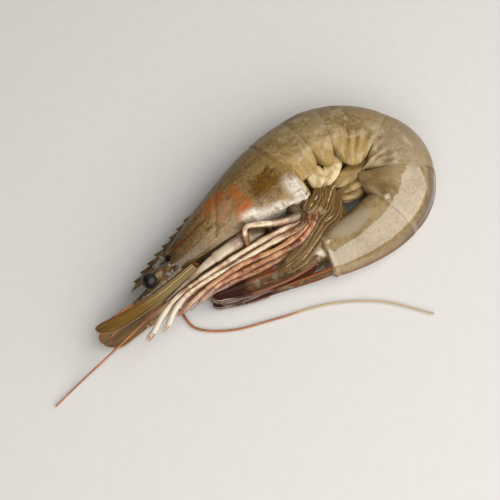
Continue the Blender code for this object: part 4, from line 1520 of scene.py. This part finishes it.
# %% Leg finish
def leg_finish(name, pale, brown, lined, claw_white):
    """lined says how strong the lines, flecks and painted glints are, claw_white how white the end is."""
    finish = Finish(name, coat_roughness=0.07)
    along, joint, upness = finish.parts(finish.piece)
    depth = finish.parts(finish.body)[1]
    streaks = finish.noise(finish.vector(along * 4, upness * 4.5, depth * 0.35), 1.0, 3.0, 0.3)
    flecks = finish.noise(finish.vector(along * 22, upness * 9, depth * 1.1), 1.0, 2.0, 0.2)
    patch = finish.noise(finish.body, 0.3, 2.0)
    ragged = upness + (streaks - 0.5) * 1.1 + (patch - 0.5) * 0.25
    colour = finish.mix(patch.fade(0.35, 0.65), pale, [part * 1.25 for part in pale])
    # Below the top the leg turns brown: partly its own colour, partly painted shade.
    colour = finish.mix(ragged.fade(0.95, 0.80), colour, brown)
    red_line = ragged.hump(0.86, 0.09) * streaks.fade(0.36, 0.48)
    colour = finish.mix(red_line * lined, colour, (0.24, 0.045, 0.008))
    # Nearly black underneath: painted shade.
    colour = finish.mix(ragged.fade(0.62, 0.42), colour, (0.045, 0.020, 0.005))
    fold = joint.fade(0.03, 0.0) + joint.fade(0.98, 1.0)
    colour = finish.mix(fold * 0.35, colour, (0.16, 0.085, 0.03))
    # Pale flecks on the top are painted glints.
    light = flecks.fade(0.56, 0.66) * upness.fade(0.5, 0.8)
    colour = finish.mix(light * lined * 0.7, colour, [min(part * 1.7, 0.78) for part in pale])
    dark = flecks.fade(0.42, 0.34) * upness.fade(0.98, 0.8)
    colour = finish.mix(dark * lined * 0.7, colour, (0.070, 0.026, 0.006))
    # Nearly black at the root, where the leg goes in under the shell: painted shade.
    colour = finish.mix(along.fade(0.22, 0.08) * 0.85, colour, (0.050, 0.028, 0.008))
    colour = finish.mix(along.fade(0.80, 0.90) * claw_white, colour, (0.62, 0.55, 0.45))
    return finish.coat(colour, 0.35 + patch * 0.2, 0.6, streaks, 0.0002)


LEG = leg_finish("wet_leg", (0.56, 0.46, 0.32), (0.150, 0.066, 0.016), 0.9, 0.8)
RED_LEG = leg_finish("wet_red_leg", (0.40, 0.23, 0.11), (0.135, 0.036, 0.008), 0.95, 0.2)
JAW_LEG = leg_finish("wet_jaw_leg", (0.42, 0.35, 0.26), (0.27, 0.19, 0.105), 0.3, 0.0)
print("made", LEG.name, RED_LEG.name, JAW_LEG.name)

# %% [markdown]
# ## Where the legs lie
#
# Five pairs of legs sweep forward under the head.  Those of the upper side lie in lanes
# beside each other, those of the lower side in closer lanes one storey down.  A table
# gives the first lane, and another the distance from lane to lane.  An upper leg comes
# out behind the gill cover and turns forward into its lane.  The last one is bent up over
# the gill cover first.

# %% Leg routes
LEG_COUNT, UPPER_HEIGHT = 5, 4.4
FIRST_HIP, HIP_PITCH = 39.5, 1.8
FIRST_COXA, COXA_PITCH = 26.5, 4.0
LEG_TIPS = (-5.5, -1.5, 3.5, 6.5, 9.0)
TIP_DROPS = (4.2, 3.4, 1.8, 1.0, 0.5)
LANE = ((-4, 7.4), (3, 7.5), (6, 7.7), (12, 8.6), (20, 9.5), (31, 11.4), (37, 12.6), (42, 13.6))
LANE_PITCH = ((-4, 1.1), (6, 1.15), (20, 1.2), (31, 1.6), (37, 1.4), (42, 1.0))
LAST_LEG_BEND = [
    (40.6, -8.6, 3.2), (40.1, -11.0, 4.8), (39.2, -12.1, 5.2), (35, -10.6, 5.7), (31, -8.0, 6.2),
    (28.6, -6.7, 6.3), (27.2, -7.7, 5.9), (26.4, -9.2, 4.7), (25.6, -9.35, 3.2),
]


def belly(s):
    """How far the belly lies from the middle line."""
    return float(smooth(VENTRAL, s))


def lane_depth(s, number):
    stray = 0.22 * math.sin(0.33 * s + 2.1 * number)
    return float(smooth(LANE, s) + number * smooth(LANE_PITCH, s)) + stray


def upper_leg(number):
    """A leg of the left side: out behind the gill cover, then forward in its lane."""
    if number == LEG_COUNT - 1:
        places = list(LAST_LEG_BEND)
        start, lane, high = 22.5, 1.5, 2.8
    else:
        hip = FIRST_HIP + HIP_PITCH * number
        places = [(min(hip + 0.8, 44), -8.6, 2.2), (hip, -11.3, 2.8)]
        places.append((39.6 + 1.2 * number, -12.2 - 0.72 * number, 3.4))
        start, lane, high = 38.4 - 0.4 * number, number, UPPER_HEIGHT
    for t in (0, 0.2, 0.45, 0.7, 0.84, 0.93, 1):
        s = start + (LEG_TIPS[number] - start) * t
        depth = lane_depth(s, lane) + TIP_DROPS[number] * fade(t, 0.72, 1.02)
        places.append((s, -depth, high - 0.8 * t + 0.25 * math.sin(7 * t + 1.7 * number)))
    return places


def lower_leg(number):
    """A leg of the right side: round under the belly, then forward under the others."""
    coxa, tip = FIRST_COXA + number * COXA_PITCH, LEG_TIPS[number] + 3
    places = [(coxa + 0.6, -belly(coxa) + 1.6, -2.4), (coxa, -belly(coxa) - 0.95, -2.6)]
    for t in (0.14, 0.3, 0.5, 0.75, 0.9, 1):
        s = coxa + (tip - coxa) * t
        depth = lane_depth(s, (0.3 + 0.65 * number) * fade(t, -0.1, 0.4))
        places.append((s, -depth, 0.15 + 1.1 * (number % 2)))
    return places


print("the first leg ends", round(-upper_leg(0)[-1][1], 1), "mm below the middle line")

# %% [markdown]
# ## Walking legs and jaw legs
#
# A leg is one strand with six joints.  The first three pairs end in small claws, and a
# claw is two short strands more.  The jaw legs lie before the others along the edge of
# the shell, and are broader and smoother.  All start inside the body, so that their
# stout roots come out of the shell.

# %% Legs
CLAWED, PALE_LEGS = 3, (0, 1, 4)
LEG_JOINTS, LEG_FLATNESS = 6.0, 0.72
LEG_RADII = (1.3, 1.15, 1.0, 0.95, 0.92, 0.90, 0.86, 0.80, 0.70, 0.52)
TIP_RADII = (0.46, 0.42, 0.32, 0.10)
CLAW_SPREAD, FIRST_CLAW, OTHER_CLAWS = 0.24, 1.15, 0.8
JAW_JOINTS, JAW_FLATNESS = 4.0, 0.6
JAW_RADII = (1.0, 1.8, 2.0, 1.95, 1.75, 1.45, 1.1, 0.75, 0.4, 0.1)
JAW_HIPS = {
    "left": [(32, -6.8, 2.2), (30.5, -8.4, 3.2), (26, -7.5, 3.5)],
    "right": [(25, -5.4, 2.6), (23, -7.5, 3.6)],
}
JAW_ROUTE = [(20, -6.8, 3.4), (15, -6.5, 3.0), (10, -6.5, 2.4), (4, -6.5, 1.8)]


def fingers(places, thickness):
    """The two fingers of a claw at the end of a leg, as strands."""
    end, before = np.array(places[-1]), np.array(places[-2])
    way = unit(end - before)
    aside = np.array((way[1], -way[0], 0))
    radii = [radius * thickness for radius in TIP_RADII]
    strands = []
    for turn in (-1, 1):
        start = end - way * 2.8 + aside * turn * 0.12
        middle = end - way * 1.3 + aside * turn * CLAW_SPREAD
        tip = end + way * 0.1 + aside * turn * CLAW_SPREAD * 0.4
        strands.append(strand([start, middle, tip], radii, 1.0, count=24))
    return strands


def walking_leg(number, side, places):
    radii = LEG_RADII[:-2] + (0.22, 0.08)
    hand = []
    if number < CLAWED:
        radii = LEG_RADII
        hand = fingers(places, FIRST_CLAW if number == 0 else OTHER_CLAWS)
        palm = np.array(places[-1]) * 0.35 + np.array(places[-2]) * 0.65
        places = places[:-1] + [tuple(palm)]
    strands = [strand(places, radii, LEG_JOINTS, count=140)] + hand
    name, node = f"leg_{number + 1}_{side}", f"walking_leg_{number + 1}_{side}"
    material = LEG if side == "left" and number in PALE_LEGS else RED_LEG
    limb(name, strands, "walking_leg", material, node, rings=170, sides=16, flatness=LEG_FLATNESS)


def jaw_leg(side, sign):
    route = mirrored(JAW_HIPS[side] + JAW_ROUTE, sign)
    strands = [strand(route, JAW_RADII, JAW_JOINTS, count=100)]
    name, node = f"jaw_leg_{side}", f"mouth_leg_{side}"
    limb(name, strands, "walking_leg", JAW_LEG, node, rings=130, flatness=JAW_FLATNESS)


for side, sign in SIDES.items():
    jaw_leg(side, sign)
    for number in range(LEG_COUNT):
        walking_leg(number, side, upper_leg(number) if sign > 0 else lower_leg(number))

# %% [markdown]
# ## The finish of the swimmerets
#
# Inside the curl lie five pairs of paddles, each with a stout stem and two flat strips.  The strips are
# olive brown, with red-brown edges and a broken pale vein.  The stems of the first two pairs are cream,
# and those behind them, deep in the curl, are olive too: a darker copy that is painted shade.

# %% Swimmeret finish
def swimmeret_finish(name, dull, bright):
    """A stem between two colours, then a strip from 0.46 of the whole length on."""
    finish = Finish(name, coat_roughness=0.07, soft=0.15)
    along, across, _ = finish.parts(finish.piece)
    fibres = finish.noise(finish.scaled(finish.piece, (2.0, 4.0, 1.0)), 1.0, 3.0, 0.4)
    blot = finish.noise(finish.object, 420.0, 2.0)
    stem = finish.mix(blot.fade(0.35, 0.65), dull, bright)
    strip = finish.mix(fibres.fade(0.35, 0.65), (0.080, 0.042, 0.009), (0.170, 0.098, 0.022))
    strip = finish.mix(across.size().fade(0.8, 0.98) * 0.6, strip, (0.12, 0.035, 0.006))
    vein = across.hump(0.1, 0.10) * blot.fade(0.50, 0.56)
    strip = finish.mix(vein * 0.9, strip, (0.58, 0.48, 0.30))
    colour = finish.mix((along + (blot - 0.5) * 0.2).fade(0.34, 0.46), stem, strip)
    return finish.coat(colour, 0.35 + fibres * 0.2, 0.35, fibres + blot, 0.0002)


PALE_STEM = swimmeret_finish("wet_swimmeret", (0.36, 0.250, 0.095), (0.58, 0.47, 0.28))
# The same finish in darker olive, as painted shade for the stems deep in the curl.
SHADED_STEM = swimmeret_finish("wet_olive_swimmeret", (0.170, 0.105, 0.030), (0.330, 0.225, 0.085))
print("made", PALE_STEM.name, SHADED_STEM.name)

# %% [markdown]
# ## Leaves that lie in layers
#
# A stem and a strip are leaves again, but they follow a route drawn on the floor plan, at
# one height, so that paddles in different layers can't cut through each other.  Each
# stands for a share of the whole paddle's length, which its `piece` attribute is scaled
# to, so that one finish covers stem and strips.

# %% Paddle parts
PADDLE_ROWS, PADDLE_COLUMNS = 70, 40


def joined(name, meshes):
    """One mesh of several, with their attributes."""
    shape = bmesh.new()
    for mesh in meshes:
        shape.from_mesh(mesh)
    whole = bpy.data.meshes.new(name)
    shape.to_mesh(whole)
    shape.free()
    return whole


def paddle_part(name, route, height, wide, thick, ribs, share):
    """A curved leaf through plan points in mm, at a height, with its lengthwise edges."""
    t = np.linspace(0, 1, PADDLE_ROWS)
    middle = along_route([(*spot, height) for spot in route], PADDLE_ROWS)
    ways = unit(np.gradient(middle, axis=0))
    sides = np.stack([-ways[:, 1], ways[:, 0], 0 * t], axis=1)
    ends = np.sqrt(np.clip(1 - (2 * t - 1) ** 8, 0.01, 1))
    width = sides * (wide(t) * ends)[:, None]
    face = np.array((0, 0, 1)) * (thick(t) * ends)[:, None]
    mesh, edges = leaf(name, middle, width, face, ribs, columns=PADDLE_COLUMNS, in_space=True)
    low, high = share
    values = np.empty(len(mesh.vertices) * 3, np.float32)
    mesh.attributes["piece"].data.foreach_get("vector", values)
    values[::3] = low + (high - low) * values[::3]
    mesh.attributes["piece"].data.foreach_set("vector", values)
    return mesh, edges


def stem_width(t):
    return 1.3 + 0.9 * np.sin(np.pi * np.clip(t, 0, 1)) - 0.3 * t


def stem_thick(t):
    return 0.62 - 0.12 * t


def stem_ribs(t, across):
    return 0.95 + 0.12 * hump(across, 0.35, 0.3) - 0.1 * hump(across, -0.3, 0.2)


def strip_width(t):
    return 0.35 + 0.85 * np.sin(np.pi * np.clip(0.1 + 0.85 * t, 0, 1)) ** 0.8


def strip_thick(t):
    return 0.24 - 0.08 * t


def strip_ribs(t, across):
    return 0.75 + 0.35 * hump(np.abs(across), 0.85, 0.12) + 0.3 * hump(across, 0, 0.12)


# %% [markdown]
# ## Swimmerets
#
# A stem runs from the body to a knee, and from there the two strips follow the bundle, a
# guide line that all paddles share.  Each keeps its own distance beside that line, which
# shrinks towards the end, so that the strips draw together there.  The paddles of the
# upper side lie above the middle plane and those of the lower side under it.

# %% Swimmerets
PADDLE_COUNT, PALE_STEMS = 5, (0, 1)
PLEURON_DROP = 2.4
PADDLE_PLANE, MIDDLE_GAP, LAYER_PITCH = 7.2, 0.65, 1.0
STEM_PLACE, STEM_SHIFT, STEM_TUCK = 0.7, 0.055, 2.6
KNEES = ((15.6, 13.0), (17.4, 14.2), (19.8, 14.4), (21.4, 13.4), (21.3, 12.2))
BUNDLE = ((17.0, 9.7), (14.4, 6.0), (11.5, 0.1), (8.4, -4.6), (4.5, -8.5))
BUNDLE_SIDE = np.array((0.8, -0.5))
STRIP_STEPS = {"left": (0.9, 0.6, 3.0, 3.6, 3.2), "right": (0.8, 1.0, 1.2, 1.2, 1.0)}
STRIP_ASIDE = (-1.3, -0.3, 0.9, 2.8, 4.4)
STRIPS = ((-1.0, 1.0, 0.16), (1.0, 0.86, -0.16))


def beside_bundle(number, step, turn):
    """A plan point some steps along the bundle, at a strip's own distance beside it."""
    guide = [np.interp(step, range(len(BUNDLE)), axis) for axis in np.array(BUNDLE).T]
    aside = STRIP_ASIDE[number] * (1.3 - 0.25 * step) + turn * (0.4 + 0.12 * step)
    return np.array(guide) + aside * BUNDLE_SIDE


def swimmeret(number, side, sign):
    """A stem, then two strips, each with its side, its share of the length and its lift."""
    front, back = EDGES[number], EDGES[number + 1]
    place = front + (STEM_PLACE + STEM_SHIFT * number) * (back - front)
    root = body_points(place, -belly(place) - PLEURON_DROP - 0.5)[:2] / MM
    height = PADDLE_PLANE + sign * (MIDDLE_GAP + LAYER_PITCH * (PADDLE_COUNT - 1 - number))
    knee = np.array(KNEES[number])
    way = unit(knee - root)
    route = [root - STEM_TUCK * way, root, (root + knee) / 2, knee]
    stem, _ = paddle_part("stem", route, height, stem_width, stem_thick, stem_ribs, (0.0, 0.4))
    parts, hairs = [stem], []
    for turn, reach, lift in STRIPS:
        route = [knee - 1.2 * way, knee + 0.8 * way]
        steps = np.linspace(0, 1, 5) * reach * STRIP_STEPS[side][number]
        route += [beside_bundle(number, step, turn) for step in steps]
        shape = (strip_width, strip_thick, strip_ribs)
        strip, edges = paddle_part("strip", route, height + lift, *shape, (0.42, 1.0))
        parts.append(strip)
        hairs += [edge_hairs(edge, count=40, first=0.55, last=1.0, forward=2.2) for edge in edges]
    name = f"paddle_{number + 1}_{side}"
    mesh = joined(name, parts)
    # The stems deep in the curl get the darker copy, which is painted shade.
    mesh.materials.append(PALE_STEM if number in PALE_STEMS else SHADED_STEM)
    mesh.shade_smooth()
    add_piece(name, mesh, "swimmeret", f"swimmeret_{number + 1}_{side}")
    return hairs


PADDLE_HAIRS = []
for side, sign in SIDES.items():
    for number in range(PADDLE_COUNT):
        PADDLE_HAIRS += swimmeret(number, side, sign)

# %% [markdown]
# ## Fringes
#
# Now that every edge is known, the fringe tree stands its hairs on them.  They are pale
# towards their tips, a tenth of a millimetre thick and about a millimetre long, and they
# soften the outlines of the tail, the scales and the paddles.

# %% Hairs
HAIR_THICKNESS = 0.00005
HAIR_LENGTHS = {"tail": 0.0010, "scale": 0.0010, "paddle": 0.0011}


def hair_finish(name, root, tip):
    finish = Finish(name, coat_roughness=0.2, soft=0.0)
    along = finish.parts(finish.piece)[0]
    colour = finish.mix(along.fade(0.0, 0.8), root, tip)
    return finish.coat(colour, 0.5 + along * 0.1, 0.3, along, 0.00001)


TAIL_HAIR = hair_finish("tail_hair", (0.10, 0.02, 0.01), (0.34, 0.26, 0.20))
PALE_HAIR = hair_finish("pale_hair", (0.20, 0.11, 0.04), (0.45, 0.34, 0.20))


def fringe(part, roots, spread, seed, slot, material):
    name = f"{part}_fringe"
    settings = {"Length": HAIR_LENGTHS[part], "Thickness": HAIR_THICKNESS, "Spread": spread}
    settings |= {"Seed": seed, "Material": material}
    add_piece(name, run_tree(FRINGE, roots_mesh(name, roots), settings), slot)


fringe("tail", TAIL_HAIRS, 0.2, 3, "tail_blade", TAIL_HAIR)
fringe("scale", SCALE_HAIRS, 0.15, 5, "antennal_scale", PALE_HAIR)
fringe("paddle", PADDLE_HAIRS, 0.25, 7, "swimmeret", PALE_HAIR)

# %% [markdown]
# ## Floor, light and camera
#
# The floor is a plain pale sheet just under the animal.  One large soft light stands
# high on the right and towards the camera.  The wet rings of the tail side mirror it as
# one broad bright band, and the rest of the body, which turns away from it, stays matt.

# %% The stage
FLOOR_GAP, FLOOR_HALF = 0.0001, 1.5
TARGET = Vector((0.0, 0.0, 0.006))
ELEVATION = math.radians(68)
DISTANCE, LENS = 0.275, 85.0
NEAREST, FARTHEST = 0.01, 10
WARM_WHITE = (1.0, 0.97, 0.93)
SKY_STRENGTH = 0.11
KEY_PLACE, KEY_SIZE, KEY_RADIANCE = (0.225, -0.185, 0.385), (1.2, 0.62), 3.2


def floor():
    mesh = bpy.data.meshes.new("floor")
    turns = ((-1, -1), (1, -1), (1, 1), (-1, 1))
    corners = [(x * FLOOR_HALF, y * FLOOR_HALF, -FLOOR_GAP) for x, y in turns]
    mesh.from_pydata(corners, [], [(0, 1, 2, 3)])
    finish = Finish("floor_paper", soft=0.0)
    grain = finish.noise(finish.object, 400.0, 3.0)
    colour = finish.mix(grain, (0.56, 0.55, 0.54), (0.60, 0.59, 0.58))
    mesh.materials.append(finish.coat(colour, 0.7 + grain * 0.1, 0.0, grain, 0.00001))
    sheet = bpy.data.objects.new("floor", mesh)
    bpy.context.scene.collection.objects.link(sheet)


def aimed(name, data, place):
    """A light or camera at a place, looking at the animal."""
    thing = bpy.data.objects.new(name, data)
    bpy.context.scene.collection.objects.link(thing)
    thing.location = place
    thing.rotation_euler = (TARGET - Vector(place)).to_track_quat("-Z", "Y").to_euler()
    return thing


def softbox(name, place, size, radiance):
    """A rectangular light of a given brightness, aimed at the animal."""
    data = bpy.data.lights.new(name, "AREA")
    data.shape = "RECTANGLE"
    data.size, data.size_y = size
    data.energy = radiance * math.pi * size[0] * size[1]
    data.color = WARM_WHITE
    aimed(name, data, place)


def camera():
    data = bpy.data.cameras.new("camera")
    data.lens = LENS
    data.clip_start, data.clip_end = NEAREST, FARTHEST
    away = Vector((0, -math.cos(ELEVATION), math.sin(ELEVATION)))
    bpy.context.scene.camera = aimed("camera", data, TARGET + away * DISTANCE)


def soft_world():
    world = bpy.data.worlds.new("soft_world")
    world.use_nodes = True
    sky = world.node_tree.nodes["Background"]
    sky.inputs["Color"].default_value = (*WARM_WHITE, 1)
    sky.inputs["Strength"].default_value = SKY_STRENGTH
    bpy.context.scene.world = world


floor()
soft_world()
softbox("key_softbox", KEY_PLACE, KEY_SIZE, KEY_RADIANCE)
camera()
bpy.context.scene.view_settings.view_transform = "Standard"
print("the camera stands at", [round(value, 3) for value in bpy.context.scene.camera.location])
